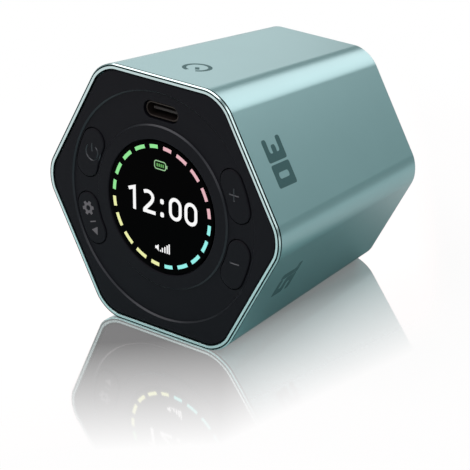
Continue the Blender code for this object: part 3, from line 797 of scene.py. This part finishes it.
def foam(start, colour):
    """Closed foam with open pores."""
    sockets = {"Vector": start.place(), "Scale": 2600.0}
    pores = start.node("ShaderNodeTexVoronoi", sockets, output="Distance")
    return start.surface(
        Base_Color=pores.tone(colour, 0.5, 1.2),
        Roughness=0.95,
        Normal=pores.bump(0.5, 0.0002),
    )


def ribbon_film(start, colour):
    """Amber film with copper lines along it."""
    spot = start.node("ShaderNodeSeparateXYZ", {0: start.place()})
    lines = start.math("PINGPONG", spot, 0.0003).between(0.00012, 0.00018)
    return start.surface(Base_Color=lines.tone(colour, 1.0, 0.55), Roughness=0.35, Coat_Weight=0.4)


# The floor's zones, each from where it begins to where it is full, along these ways and round the middle
TO_VIEWER = (0.643, -0.766, 0)
TO_RIGHT = (0.766, 0.643, 0)
TO_REAR = (0.55, 0.83, 0)
SHEEN_FADE = (0.0244, 0.0686)
SHEEN_SIDE = (0.036, 0.046)
SHEEN_SHARE = 0.8
SKEW_LEFT = 0.0056
SKEW = 0.85
# Painted shade seen only in reflections: the patch behind the timer, the grey open floor beyond it and the
# dimmed far rear
PAINTED_SHADE_EDGE = (-0.02, 0.006)
OPEN_FLOOR = (0.028, 0.055)
DIM_FLOOR = (0.05, 0.20)
FAR_FLOOR = (0.09, 0.13)
# The two colours of the painted shade in the patch behind the timer, lighter and darker
PAINTED_SHADE_LIGHT = (0.675, 0.9, 0.9, 1)
PAINTED_SHADE_DARK = (0.375, 0.5, 0.5, 1)
GLOSS_TINT = (1, 0.985, 0.98, 1)
GLOSS_ROUGHNESS = 0.045
GLOW_SHARE = 0.9


def white_floor(start):
    """White floor with the timer's faint shadow and a mirror sheen that fades towards the viewer.

    Farther off it is plain white. What metal reflects of it carries painted shade: for reflected rays its
    colour darkens in a patch behind the timer and is grey beyond it, and its far rear right part is dimmed.
    """
    spot = start.place()
    rays = ("Is Camera Ray", "Is Glossy Ray", "Is Transmission Ray")
    camera, glossy, through = start.outputs("ShaderNodeLightPath", rays)
    forward, aside, back = (
        start.node("ShaderNodeVectorMath", {0: spot, 1: way}, output="Value", operation="DOT_PRODUCT")
        for way in (TO_VIEWER, TO_RIGHT, TO_REAR)
    )
    far = start.node("ShaderNodeVectorMath", {0: spot}, output="Value", operation="LENGTH")
    fade = forward + start.math("MAXIMUM", aside + SKEW_LEFT, 0.0) * SKEW
    limits = dict(zip(("From Min", "From Max", "To Min", "To Max"), (*SHEEN_FADE, SHEEN_SHARE, 0.0)))
    sheen = start.node("ShaderNodeMapRange", {"Value": fade, **limits})
    sheen = sheen * (1 - aside.between(*SHEEN_SIDE))
    # Painted shade for reflected rays: the floor's colour darkens in a patch behind the timer and is grey
    # beyond it, while the camera still sees white paper
    painted_shade = back.between(*PAINTED_SHADE_EDGE).mix(PAINTED_SHADE_LIGHT, PAINTED_SHADE_DARK)
    mirrored = back.between(*OPEN_FLOOR).mix(painted_shade, grey(0.7))
    paper = start.node("ShaderNodeBsdfDiffuse", {"Color": glossy.mix(grey(0.9), mirrored)})
    glow = start.node("ShaderNodeEmission", {"Color": WHITE, "Strength": 1.0})
    gloss = start.node("ShaderNodeBsdfGlossy", {"Color": GLOSS_TINT, "Roughness": GLOSS_ROUGHNESS})
    near = (sheen * camera).blend((camera * GLOW_SHARE).blend(paper, glow), gloss)
    # Painted shade: reflected rays see the far rear floor dimmed
    dimmed = (glossy * back.between(*DIM_FLOOR)).mix(WHITE, grey(0.42))
    white = start.node("ShaderNodeEmission", {"Color": dimmed, "Strength": 1.0})
    seen = start.math("MAXIMUM", camera, start.math("MAXIMUM", glossy, through))
    return (seen * far.between(*FAR_FLOOR)).blend(near, white)


# Each finish: its builder, its colour or that colour's name in the panel, and what else the builder takes
FINISHES = {
    "satin anodised": (anodised, "sleeve"),
    "cut metal": (cut_metal, "cut"),
    "lip metal": (cut_metal, "lip"),
    # Painted shade: the anodised finish in the grooves' far darker colour, standing in for the shade inside
    # them.
    "groove metal": (anodised, "groove"),
    "filled ink": (filled_ink, "ink"),
    "face plastic": (moulded, "face", 0.5, 0.09),
    "polished rim": (moulded, "face", 0.35, 0.36, COOL),
    "key plastic": (moulded, "key", 0.48, 0.09),
    "cut sign": (moulded, "face", 0.35, 0.7, COOL),
    "sign ink": (moulded, "sign", 0.5, 0.3),
    "display window": (black_window, "window"),
    "lit white": (lit, "digits"),
    **{f"lit {name}": (lit, name) for name in ("pink", "cyan", "yellow", "green", "mint", "moss", "leaf")},
    "port steel": (steel, (0.06, 0.05, 0.046), 0.5),
    "tongue resin": (moulded, (0.022, 0.020, 0.019), 0.45, 0.3),
    "screw steel": (steel, (0.30, 0.30, 0.31), 0.3),
    "screen plate": (moulded, (0.01, 0.01, 0.012), 0.25, 0.5),
    "ribbon film": (ribbon_film, (0.45, 0.22, 0.03)),
    "board mask": (board_mask, (0.02, 0.12, 0.05), (0.05, 0.2, 0.08)),
    "connector plastic": (moulded, (0.75, 0.73, 0.68), 0.5, 0.5),
    "chip resin": (moulded, (0.015, 0.015, 0.016), 0.6, 0.4),
    "inner steel": (steel, (0.55, 0.55, 0.56), 0.25),
    "frame plastic": (moulded, (0.05, 0.05, 0.055), 0.6, 0.4),
    "cell foil": (foil, (0.6, 0.6, 0.62)),
    "foam": (foam, (0.08, 0.08, 0.085)),
    "wire": (moulded, (0.45, 0.02, 0.02), 0.5, 0.5),
    "white floor": (white_floor,),
}
# The finishes of the CAD's slots whose labels differ from the slots' names
SLOT_LABELS = {
    "screen": "screen plate",
    "board": "board mask",
    "steel": "inner steel",
    "sleeve": "satin anodised",
    "window": "display window",
}


def material(label):
    """The finish of that label, built on first use."""
    made = bpy.data.materials.get(label)
    if made is None:
        made = bpy.data.materials.new(label)
        made.use_nodes = True
        made.node_tree.nodes.clear()
        start = Wire(made.node_tree)
        build, *values = FINISHES[label]
        if values and isinstance(values[0], str):
            values[0] = getattr(bpy.context.scene.timer_colours, values[0])
        start.node("ShaderNodeOutputMaterial", {"Surface": build(start, *values)})
    return made


# Sleeve


def flats_at(depth):
    return FRONT_FLATS + (REAR_FLATS - FRONT_FLATS) * depth / DEPTH


def flat_frame(degrees):
    """Frame of a flat in the face frame: X across it, Y along it to the rear, Z out of it."""
    across = Vector((*polar(1, degrees - 90), 0))
    out = Vector((*polar(math.cos(TILT), degrees), -math.sin(TILT)))
    turn = Matrix((across, out.cross(across), out)).transposed().to_4x4()
    return at(*polar(FRONT_FLATS / 2, degrees)) @ turn


def digit_paths(digit, width):
    """The points of each stroke of a square cut digit."""
    high, right = MARK_HEIGHT - width, MARK_HALF - width / 2
    middle, left, end = high / 2, -right, MARK_HALF
    return {
        "0": [corners(right, high, left, 0)],
        "1": [[(-end, high), (0, high), (0, -width / 2)]],
        "3": [[(-end, high), (right, high), (right, 0), (-end, 0)], [(-end * 0.4, middle), (right, middle)]],
        "5": [[(end, high), (left, high), (left, middle), (right, middle), (right, 0), (-end, 0)]],
        "6": [
            [(end, high), (left, high), (left, 0), (right, 0), (right, middle + width * 0.48)],
            [(left, middle), (right + width * 0.18, middle)],
        ],
    }[digit]


def flat_mark(digits, width, low, high):
    """A number of square cut digits with the foot of its lines' middles at Y 0."""
    pieces = []
    for digit, middle in digits.items():
        for points in digit_paths(digit, width):
            moved = [(x + middle, y) for x, y in points]
            pieces.append(stroke(moved, width, low, high, closed=digit == "0", soft=width * MARK_SOFTNESS))
    return weld("flat_number", pieces)


def clock_mark(width, low, high):
    """A small clock: an open ring with one hand."""
    ring = stroke(arc(CLOCK_RADIUS, *CLOCK_SWEEP, 32), width, low, high)
    return weld("flat_clock", [ring, stroke(CLOCK_HAND, width, low, high)])


class TIMER_OT_sleeve(Operator):
    """Model the tapered sleeve with its bright rim, its inner ledges and the filled marks on its flats"""

    bl_idname = "timer.sleeve"
    bl_label = "Sleeve"

    def execute(self, context):
        sizes = context.scene.timer_sizes
        rear_edge = DEPTH - REAR_CHAMFER
        reach, flats = CHAMFER, flats_at(CHAMFER)
        sleeve = hexagon("sleeve", flats, CORNER * flats / FRONT_FLATS, -CHAMFER)
        groove = sizes.groove
        with editing(sleeve):
            every("FACE")
            for depth, sunk in ((CHAMFER + groove, groove / 2), (CHAMFER + groove * 2, 0), (rear_edge, 0)):
                push(0, 0, reach - depth)
                scale((flats_at(depth) - 2 * sunk) / flats)
                reach, flats = depth, flats_at(depth) - 2 * sunk
            outward()
            front = flats_at(CHAMFER) / 2 - FRONT_FLATS / 2 + CHAMFER
            rear = flats_at(rear_edge) / 2 - REAR_FLATS / 2 + REAR_CHAMFER
            mouth = FRONT_FLATS - 2 * (CHAMFER + LIP)
            rear_mouth = REAR_FLATS - 2 * (REAR_CHAMFER + REAR_LIP)
            lip = CHAMFER + LIP - FACET - SCORE_WIDTH - SCORE_WALL - LIP_EDGE
            facing(1)
            for thickness, depth in (
                (front - CHAMFER + FACET, FACET),
                (SCORE_WIDTH, -SCORE_DEPTH),
                (SCORE_WALL, CHAMFER - FACET + SCORE_DEPTH - LIP_SINK),
                (lip, 0),
                (LIP_EDGE, -LIP_SLOPE),
            ):
                inset(thickness, depth)
            push(0, 0, LIP_SINK + LIP_SLOPE - FRONT_LEDGE)
            inset((mouth - flats_at(FRONT_LEDGE)) / 2 + WALL)
            facing(-1)
            inset(rear, REAR_CHAMFER)
            inset(REAR_LIP)
            push(0, 0, DEPTH - REAR_LEDGE)
            inset((rear_mouth - flats_at(REAR_LEDGE)) / 2 + WALL)
            pick("FACE", lambda face: len(face.verts) > 4)
            bpy.ops.mesh.bridge_edge_loops()
            outward()
            pick("EDGE", lambda edge: level(edge, -rear_edge) or level(edge, -DEPTH))
            bevel(sizes.edge, 2)
        marks, tools = [], []
        low = -sizes.mark_depth
        for high, found in ((SINK, tools), (low * (1 - MARK_FILL), marks)):
            clock = clock_mark(sizes.clock_stroke, low, high)
            found.append(move(clock, flat_frame(90) @ at(*CLOCK_PLACE)))
            for degrees, foot, digits in FLAT_MARKS:
                mark = flat_mark(digits, sizes.mark_stroke, low, high)
                place = at(0, foot + sizes.mark_stroke / 2) @ Matrix.Diagonal((MARK_STRETCH, 1, 1, 1))
                found.append(move(mark, flat_frame(degrees) @ place))
        carve(sleeve, join("mark_tool", tools))
        finish(join("flat_marks", marks), "case", ["filled ink"])
        labels = ["satin anodised", "cut metal", "lip metal", "groove metal"]
        for face in sleeve.data.polygons:
            facing_out = face.normal.z
            if face.center.z < -CHAMFER - groove * 2:
                continue
            inward = face.normal.xy.dot(face.center.xy) < 0
            if face.center.z > -LIP_SINK - 9 * WELD or inward and 0.4 < facing_out < 0.6:
                face.material_index = labels.index("lip metal")
            elif 0.6 < facing_out < 0.8:
                face.material_index = labels.index("cut metal")
            # Faces in the rim's grooves get the painted shade.
            elif facing_out > 0.8 or not inward:
                face.material_index = labels.index("groove metal")
        finish(sleeve, "case", labels, ["outer_shell"])
        return {"FINISHED"}


# Face


def key_blank(half_width, front, back):
    """A bean shaped bar at the channel's right, from a half disc spun along the channel and mirrored."""
    bean = disc("bean", half_width, SMALL_STEPS, (CHANNEL_MIDDLE, 0, -back))
    with editing(bean):
        every("FACE")
        bpy.ops.mesh.bisect(plane_co=(CHANNEL_MIDDLE, 0, 0), plane_no=(0, 1, 0), clear_inner=True)
        pick("EDGE", lambda edge: all(abs(vert.co.y) < WELD for vert in edge.verts))
        bpy.ops.mesh.spin(steps=6, angle=KEY_HALF_SWEEP, center=(0, 0, 0), axis=(0, 0, 1))
    move(bean, Matrix.Rotation(KEY_HALF_SWEEP, 4, "Z"))
    apply(bean, "MIRROR", use_axis=(False, True, False), use_clip=True, merge_threshold=10 * WELD)
    with editing(bean):
        outward()
        bpy.ops.mesh.dissolve_faces()
        thicken(back - front)
    return bean


class TIMER_OT_face(Operator):
    """Model the face panel with its ring channel, its slots and the window's seat"""

    bl_idname = "timer.face"
    bl_label = "Face panel"

    def execute(self, context):
        sizes = context.scene.timer_sizes
        panel = thick_hexagon("face_panel", PANEL_FLATS, PANEL_CORNER, PANEL_FRONT, PANEL_BACK)
        with editing(panel):
            soften(-PANEL_FRONT, sizes.channel_edge, 3)
        for corner in (60, 180, 300):
            spot = polar(BOSS_REACH, corner)
            boss = drum("boss", BOSS_RADIUS, PANEL_BACK - SINK, BOSS_BACK, SMALL_STEPS, spot)
            with editing(boss):
                facing(-1)
                inset(BOSS_RADIUS - BOSS_BORE)
                push(0, 0, BOSS_BACK - BOSS_FLOOR)
            carve(panel, boss, "UNION")
        carve(panel, tube("channel", CHANNEL_OUTER, CHANNEL_INNER, -SINK, CHANNEL_FLOOR))
        seat = drum("seat", SEAT_RADIUS, -SINK, SEAT_DEPTH, ROUND_STEPS)
        with editing(seat):
            facing(-1)
            inset(SEAT_RADIUS - VIEW_RADIUS)
            push(0, 0, SEAT_DEPTH - WEB_BACK)
            step_cap(POCKET_RADIUS / VIEW_RADIUS, WEB_BACK - BOSS_BACK)
        carve(panel, seat)
        blank = key_blank(KEY_HALF_WIDTH + KEY_GAP, -SINK, PANEL_BACK + SINK)
        for degrees in KEY_ANGLES.values():
            carve(panel, copy(blank, "key_slot", spun(degrees)))
        bpy.data.objects.remove(blank)
        carve(panel, capsule("port_slot", *PORT_SLOT, -SINK, PANEL_BACK + SINK, (0, PORT_HEIGHT_UP)))
        for rims, segments in (((CHANNEL_INNER, CHANNEL_OUTER), 1), ((SEAT_RADIUS,), 3)):
            with editing(panel):
                pick(
                    "EDGE",
                    lambda edge: level(edge, -PANEL_FRONT) and any(round_axis(edge, rim) for rim in rims),
                )
                bevel(sizes.channel_edge, segments)
        for face in panel.data.polygons:
            near = CHANNEL_INNER - RIM_BAND < face.center.xy.length < CHANNEL_OUTER + RIM_BAND
            sloped = 0.6 < face.normal.z < 0.8
            face.material_index = int(near and sloped and face.center.z > -CHANNEL_FLOOR)
        finish(panel, "case", ["face plastic", "polished rim"], ["front_panel"])
        return {"FINISHED"}


# Keys


SIGN_BAR = [(-0.0013, 0), (0.0013, 0)]
SIGN_LINES = {
    "power": [arc(0.0017, 125, 415, 24), [(0, 0.0002), (0, 0.0020)]],
    "plus": [SIGN_BAR, [(0, -0.0014), (0, 0.0014)]],
    "minus": [SIGN_BAR],
}


class TIMER_OT_keys(Operator):
    """Model the four bean shaped keys with their flanges, stems and signs"""

    bl_idname = "timer.keys"
    bl_label = "Keys"

    def execute(self, context):
        sizes = context.scene.timer_sizes
        blank = key_blank(KEY_HALF_WIDTH, KEY_FRONT, FLANGE_FRONT)
        with editing(blank):
            facing(-1)
            push(0, 0, FLANGE_FRONT - FLANGE_BACK)
            behind = -FLANGE_FRONT
            pick("FACE", lambda face: abs(face.normal.z) < 0.1 and face.calc_center_median().z < behind)
            spread = {"value": FLANGE_OVERHANG, "use_even_offset": True}
            bpy.ops.mesh.extrude_region_shrink_fatten(TRANSFORM_OT_shrink_fatten=spread)
            outward()
            soften(-KEY_FRONT, sizes.key_edge, 4)
        inside = (FLANGE_FRONT + FLANGE_BACK) / 2
        stem = drum("stem", STEM_RADIUS, inside, STEM_BACK, SMALL_STEPS, (CHANNEL_MIDDLE, 0))
        carve(blank, stem, "UNION")
        for name, degrees in KEY_ANGLES.items():
            key = copy(blank, f"key_{name}", spun(degrees))
            if name in SIGN_LINES:
                self.cut_sign(key, name, sizes)
            finish(key, f"{name}_key", ["key plastic", "cut sign"], [f"button_{name}"])
        bpy.data.objects.remove(blank)
        self.print_signs(sizes.picture_lift)
        return {"FINISHED"}

    def cut_sign(self, key, name, sizes):
        """Cuts a key's sign as grooves with sloped walls, and marks their faces as polished."""
        low, width = -KEY_FRONT - sizes.sign_depth, sizes.sign_stroke
        x, y = polar(*SIGN_SPOTS[name])
        for line in SIGN_LINES[name]:
            points = [(x + right, y + up) for right, up in line]
            carve(key, stroke(points, width, low, SINK, vee=width * SIGN_VEE))
        for face in key.data.polygons:
            near = (face.center.xy - Vector((x, y))).length < SIGN_REACH
            face.material_index = int(near and face.center.z > low and 0.1 < face.normal.z < 0.95)

    def print_signs(self, lift):
        """The printed signs on the mode key: a gear, a short bar and a triangle."""
        low, high = -KEY_FRONT - lift, -KEY_FRONT + lift / 2
        spot = polar(*GEAR_SPOT)
        teeth = [
            polar(reach, tooth + GEAR_START + turn, spot)
            for tooth in range(0, 360, 60)
            for turn, reach in GEAR_TOOTH
        ]
        gear = patch(teeth, low, high)
        carve(gear, drum("hub", GEAR_HUB, -high - SINK, -low + SINK, 6, spot))
        bar = stroke(BAR_SIGN, BAR_STROKE, low, high)
        signs = join("mode_signs", [gear, bar, patch(TRIANGLE_SIGN, low, high)])
        finish(signs, "mode_key", ["sign ink"])


# Display


class TIMER_OT_display(Operator):
    """Model the display's window and its lit picture: the ring of dashes, the digits and two small signs"""

    bl_idname = "timer.display"
    bl_label = "Display"

    def execute(self, context):
        lift = context.scene.timer_sizes.picture_lift
        window = drum("display_window", WINDOW_RADIUS, PANEL_FRONT, WINDOW_BACK, ROUND_STEPS)
        with editing(window):
            soften(-PANEL_FRONT, WINDOW_EDGE, 3)
            facing(1)
            inset(WINDOW_INSET)
        finish(window, "case", ["display window"], ["display_lens"])
        for draw in (self.ring, self.digits, self.battery, self.volume):
            draw(-PANEL_FRONT - lift, -PANEL_FRONT + lift)
        return {"FINISHED"}

    def ring(self, low, high):
        """Four quarters of five dashes, clockwise from the top."""
        dashes = []
        start = 90 - RING_GAP / 2
        for sweep in RING_DASHES:
            points = arc((RING_INNER + RING_OUTER) / 2, start, start - sweep, 6)
            dashes.append(stroke(points, RING_OUTER - RING_INNER, low, high))
            start -= sweep + RING_GAP
        quarter = join("ring_pink", dashes)
        for turn, name in ((-90, "cyan"), (-180, "yellow"), (-270, "green")):
            self.show(f"ring_{name}", [copy(quarter, f"ring_{name}", spun(turn))], f"lit {name}")
        self.show("ring_pink", [quarter], "lit pink")

    def digits(self, low, high):
        """The time in rounded digits."""
        one, bow, foot = (stroke(points, DIGIT_STROKE, low, high) for points in (ONE, TWO_BOW, TWO_FOOT))
        pieces = [one, weld("two", [bow, foot])]
        rounding = ZERO_HALF - 10 * WELD
        for middle in ZERO_MIDDLES:
            points = corners(ZERO_HALF + middle, ZERO_TOP, -ZERO_HALF + middle, ZERO_FOOT)
            pieces.append(stroke(points, DIGIT_STROKE, low, high, rounding, closed=True))
        for y in DOT_HEIGHTS:
            points = [(DOT_RIGHT, y - DOT_HALF), (DOT_RIGHT, y + DOT_HALF)]
            pieces.append(stroke(points, DOT_WIDTH, low, high, soft=DOT_ROUNDING))
        self.show("display_digits", pieces, "lit white")

    def battery(self, low, high):
        """The charge sign: an outline with a nub round four bars."""
        outline = stroke(corners(*BATTERY_BOX), BATTERY_LINE, low, high, BATTERY_ROUNDING, closed=True)
        self.show("display_battery", [outline, *self.bars([BATTERY_NUB], low, high)], "lit mint")
        ground = patch(corners(*CHARGE_GROUND), low, low / 2 + high / 2)
        self.show("display_charge", [ground], "lit moss")
        self.show("display_bars", self.bars(CHARGE_BARS, low, high), "lit leaf")

    def bars(self, places, low, high):
        """Upright bars of the charge sign at these places."""
        return [stroke([(x, y) for y in CHARGE_ENDS], CHARGE_WIDTH, low, high) for x in places]

    def volume(self, low, high):
        """The sound sign: a horn and rising bars."""
        pieces = [patch([(x, HORN_MIDDLE + rise * HORN_UNIT) for x, rise in HORN], low, high)]
        for x, top in VOLUME_BARS.items():
            pieces.append(stroke([(x, VOLUME_FOOT), (x, top)], VOLUME_WIDTH, low, high))
        self.show("display_volume", pieces, "lit white")

    def show(self, name, pieces, label):
        """Puts pieces of the picture on the window in one lit colour."""
        picture = join(name, pieces) if len(pieces) > 1 else named(pieces[0], name)
        finish(picture, "case", [label], place=FACE @ at(*PICTURE_SHIFT))


# Port and rear


class TIMER_OT_port(Operator):
    """Model the charging port's thin steel cup and its tongue"""

    bl_idname = "timer.port"
    bl_label = "Charging port"

    def execute(self, context):
        middle = (0, PORT_HEIGHT_UP)
        cup = capsule("port_cup", *PORT_SHELL, PORT_FRONT, PORT_BACK, middle)
        with editing(cup):
            facing(1)
            inset(PORT_WALL)
            push(0, 0, PORT_FRONT - PORT_FLOOR)
        apply(cup, "BEVEL", width=PORT_EDGE, segments=2, limit_method="ANGLE", angle_limit=SHARP)
        finish(cup, "case", ["port steel"], ["usb_receptacle"])
        tongue = add("port_tongue", bpy.ops.mesh.primitive_cube_add, size=1)
        place = at(*middle, -(TONGUE_FRONT + TONGUE_BACK) / 2)
        move(tongue, place @ Matrix.Diagonal((*TONGUE, TONGUE_BACK - TONGUE_FRONT, 1)))
        with editing(tongue):
            soften(-TONGUE_FRONT, TONGUE_EDGE, 3)
        finish(tongue, "case", ["tongue resin"], ["usb_tongue"])
        return {"FINISHED"}


class TIMER_OT_rear(Operator):
    """Model the rear cover with its sound holes, and its three screws"""

    bl_idname = "timer.rear"
    bl_label = "Rear cover and screws"

    def execute(self, context):
        cover = thick_hexagon("rear_plate", COVER_FLATS, COVER_CORNER, COVER_FRONT, COVER_BACK)
        with editing(cover):
            soften(-COVER_BACK, REAR_EDGE, 3)
        carve(cover, tube("collar", COLLAR_OUTER, COLLAR_INNER, COLLAR_FRONT, COVER_FRONT + SINK), "UNION")
        carve(cover, self.sound_pins())
        screw = self.screw(context.scene.timer_sizes.drive_depth)
        for number, degrees in enumerate((0, 120, 240), 1):
            place = at(*polar(PILLAR_REACH, degrees))
            well = drum("well", WELL_BORE, COVER_FRONT - SINK, WELL_FLOOR, SMALL_STEPS)
            with editing(well):
                facing(-1)
                step_cap(WELL_RADIUS / WELL_BORE, WELL_FLOOR - COVER_BACK - SINK)
            carve(cover, move(well, place))
            twin = copy(screw, f"cover_screw_{number}", place)
            finish(twin, "case", ["screw steel"], [f"rear_screw_{number}"])
        bpy.data.objects.remove(screw)
        with editing(cover):
            every("VERT")
            bpy.ops.mesh.remove_doubles(threshold=WELD)
        finish(cover, "case", ["face plastic"], ["rear_cover"])
        return {"FINISHED"}

    def sound_pins(self):
        """Cutters for the sound holes, one in the middle and two rings, each flared at the rear."""
        pin = drum("sound_pin", SOUND_RADIUS, COVER_FRONT - SINK, COVER_BACK, SMALL_STEPS // 2)
        with editing(pin):
            facing(-1)
            step_cap(SOUND_FLARE, -SINK)
            pick(
                "VERT",
                lambda vert: abs(vert.co.z + COVER_BACK) < WELD and vert.co.xy.length < SOUND_RADIUS * 1.1,
            )
            bpy.ops.transform.translate(value=(0, 0, SOUND_SLOPE))
        pins = []
        for ring in range(3):
            for hole in range(max(1, 6 * ring)):
                spot = polar(ring * SOUND_PITCH, 60 * hole / max(1, ring))
                pins.append(copy(pin, "sound_pin", at(*spot)))
        bpy.data.objects.remove(pin)
        return join("sound_pins", pins)

    def screw(self, drive_depth):
        """A pan screw on the axis with a cross recess, its head to the rear."""
        screw = drum("screw", SCREW_SHANK, SCREW_TIP, SCREW_HEAD_FRONT, SMALL_STEPS)
        with editing(screw):
            facing(-1)
            step_cap(SCREW_HEAD / SCREW_SHANK, SCREW_HEAD_FRONT - COVER_BACK)
            soften(-COVER_BACK, REAR_EDGE, 3)
            soften(-SCREW_TIP, REAR_EDGE, 1)
        for x, y in ((DRIVE_HALF, 0), (0, DRIVE_HALF)):
            line = [(-x, -y), (x, y)]
            carve(screw, stroke(line, DRIVE_WIDTH, -COVER_BACK - SINK, -COVER_BACK + drive_depth))
        return screw


class TIMER_OT_insides(Operator):
    """Give the pieces inside the sleeve their finishes"""

    bl_idname = "timer.insides"
    bl_label = "Inner pieces"

    def execute(self, context):
        for subpart in frame["record"]["subparts"]:
            slot = subpart["material_slot"]
            mesh = frame["nodes"][subpart["node"]].data
            mesh.materials.clear()
            mesh.materials.append(material(SLOT_LABELS.get(slot, slot.replace("_", " "))))
        return {"FINISHED"}


# Stage


MIDDLE = Vector((0, 0, 0.028))
SENSOR = 36
LAMP_POWER = 1.15 * math.pi
SURROUND = (0.92, 1.0, 1.0, 1.0)


def far_spot(azimuth, elevation, distance):
    """The place at a distance from the timer by its angles in degrees."""
    x, y = polar(math.cos(math.radians(elevation)), azimuth)
    return Vector((x, y, math.sin(math.radians(elevation)))) * distance + MIDDLE


# Each lamp's name, place, width, height, brightness and share of green and blue
SOFT_BOXES = (
    ("top_box", far_spot(216, 62, 0.90), 0.80, 0.80, 2.5, 0.87),
    ("left_box", far_spot(141, 22, 1.10), 0.71, 0.90, 0.64, 0.87),
    ("ridge_box", far_spot(81, 29, 1.00), 0.82, 0.46, 1.60, 0.76),
    ("right_box", far_spot(50, 26, 1.00), 0.30, 0.24, 0.46, 0.87),
    ("camera_box", far_spot(-57, 34, 1.05), 0.75, 0.62, 1.6, 0.87),
)


class TIMER_OT_stage(Operator):
    """Set the camera, the floor, the lamps and the even light"""

    bl_idname = "timer.stage"
    bl_label = "Stage"

    def execute(self, context):
        scene = context.scene
        stage = scene.timer_stage
        scene.view_settings.view_transform = "Standard"
        bpy.ops.object.camera_add()
        camera = context.object
        camera.name = "camera"
        camera.data.lens = stage.lens
        camera.data.sensor_width = SENSOR
        turn = Matrix.Rotation(stage.azimuth, 4, "Z") @ Matrix.Rotation(math.pi / 2 - stage.elevation, 4, "X")
        camera.matrix_world = AXIS @ Matrix.Translation(stage.place) @ turn
        scene.camera = camera
        floor = add("floor", bpy.ops.mesh.primitive_plane_add, size=stage.floor_size)
        with editing(floor):
            every("FACE")
            inset(stage.floor_size / 3)
        floor.data.materials.append(material("white floor"))
        self.light(stage.ambient)
        self.boxes()
        return {"FINISHED"}

    def light(self, ambient):
        """Even light from all round."""
        world = bpy.data.worlds.new("surround")
        bpy.context.scene.world = world
        world.use_nodes = True
        world.node_tree.nodes.clear()
        start = Wire(world.node_tree)
        even = start.node("ShaderNodeBackground", {"Color": SURROUND, "Strength": ambient})
        start.node("ShaderNodeOutputWorld", {"Surface": even})

    def boxes(self):
        """Soft boxes over, beside and behind the timer, turned to its middle."""
        for name, place, width, height, brightness, cool in SOFT_BOXES:
            bpy.ops.object.light_add(type="AREA", location=place)
            lamp = bpy.context.object
            lamp.name = name
            lamp.data.shape = "RECTANGLE"
            lamp.data.size = width
            lamp.data.size_y = height
            lamp.data.energy = LAMP_POWER * brightness * width * height
            lamp.data.color = (1.0, cool, cool)
            lamp.rotation_euler = (MIDDLE - place).to_track_quat("-Z", "Y").to_euler()


class TIMER_PT_panel(Panel):
    """Lists the steps that model the timer"""

    bl_idname = "TIMER_PT_panel"
    bl_label = "Flip timer"
    bl_space_type = "VIEW_3D"
    bl_region_type = "UI"
    bl_category = "Flip timer"

    def draw(self, context):
        for step in STEPS:
            self.layout.operator(step.bl_idname)
        for group in (context.scene.timer_sizes, context.scene.timer_colours, context.scene.timer_stage):
            box = self.layout.box()
            for name in group.__annotations__:
                box.prop(group, name)


STEPS = (
    TIMER_OT_stage,
    TIMER_OT_insides,
    TIMER_OT_sleeve,
    TIMER_OT_face,
    TIMER_OT_keys,
    TIMER_OT_display,
    TIMER_OT_port,
    TIMER_OT_rear,
)
GROUPS = {"timer_sizes": TimerSizes, "timer_colours": TimerColours, "timer_stage": TimerStage}


def register():
    for group in GROUPS.values():
        bpy.utils.register_class(group)
    for name, group in GROUPS.items():
        setattr(bpy.types.Scene, name, PointerProperty(type=group))
    for step in STEPS:
        bpy.utils.register_class(step)
    bpy.utils.register_class(TIMER_PT_panel)


def unregister():
    bpy.utils.unregister_class(TIMER_PT_panel)
    for step in reversed(STEPS):
        bpy.utils.unregister_class(step)
    for name, group in GROUPS.items():
        delattr(bpy.types.Scene, name)
        bpy.utils.unregister_class(group)


def main():
    register()
    bpy.ops.timer.stage()
    bpy.ops.timer.insides()
    bpy.ops.timer.sleeve()
    bpy.ops.timer.face()
    bpy.ops.timer.keys()
    bpy.ops.timer.display()
    bpy.ops.timer.port()
    bpy.ops.timer.rear()


if __name__ == "__main__":
    main()
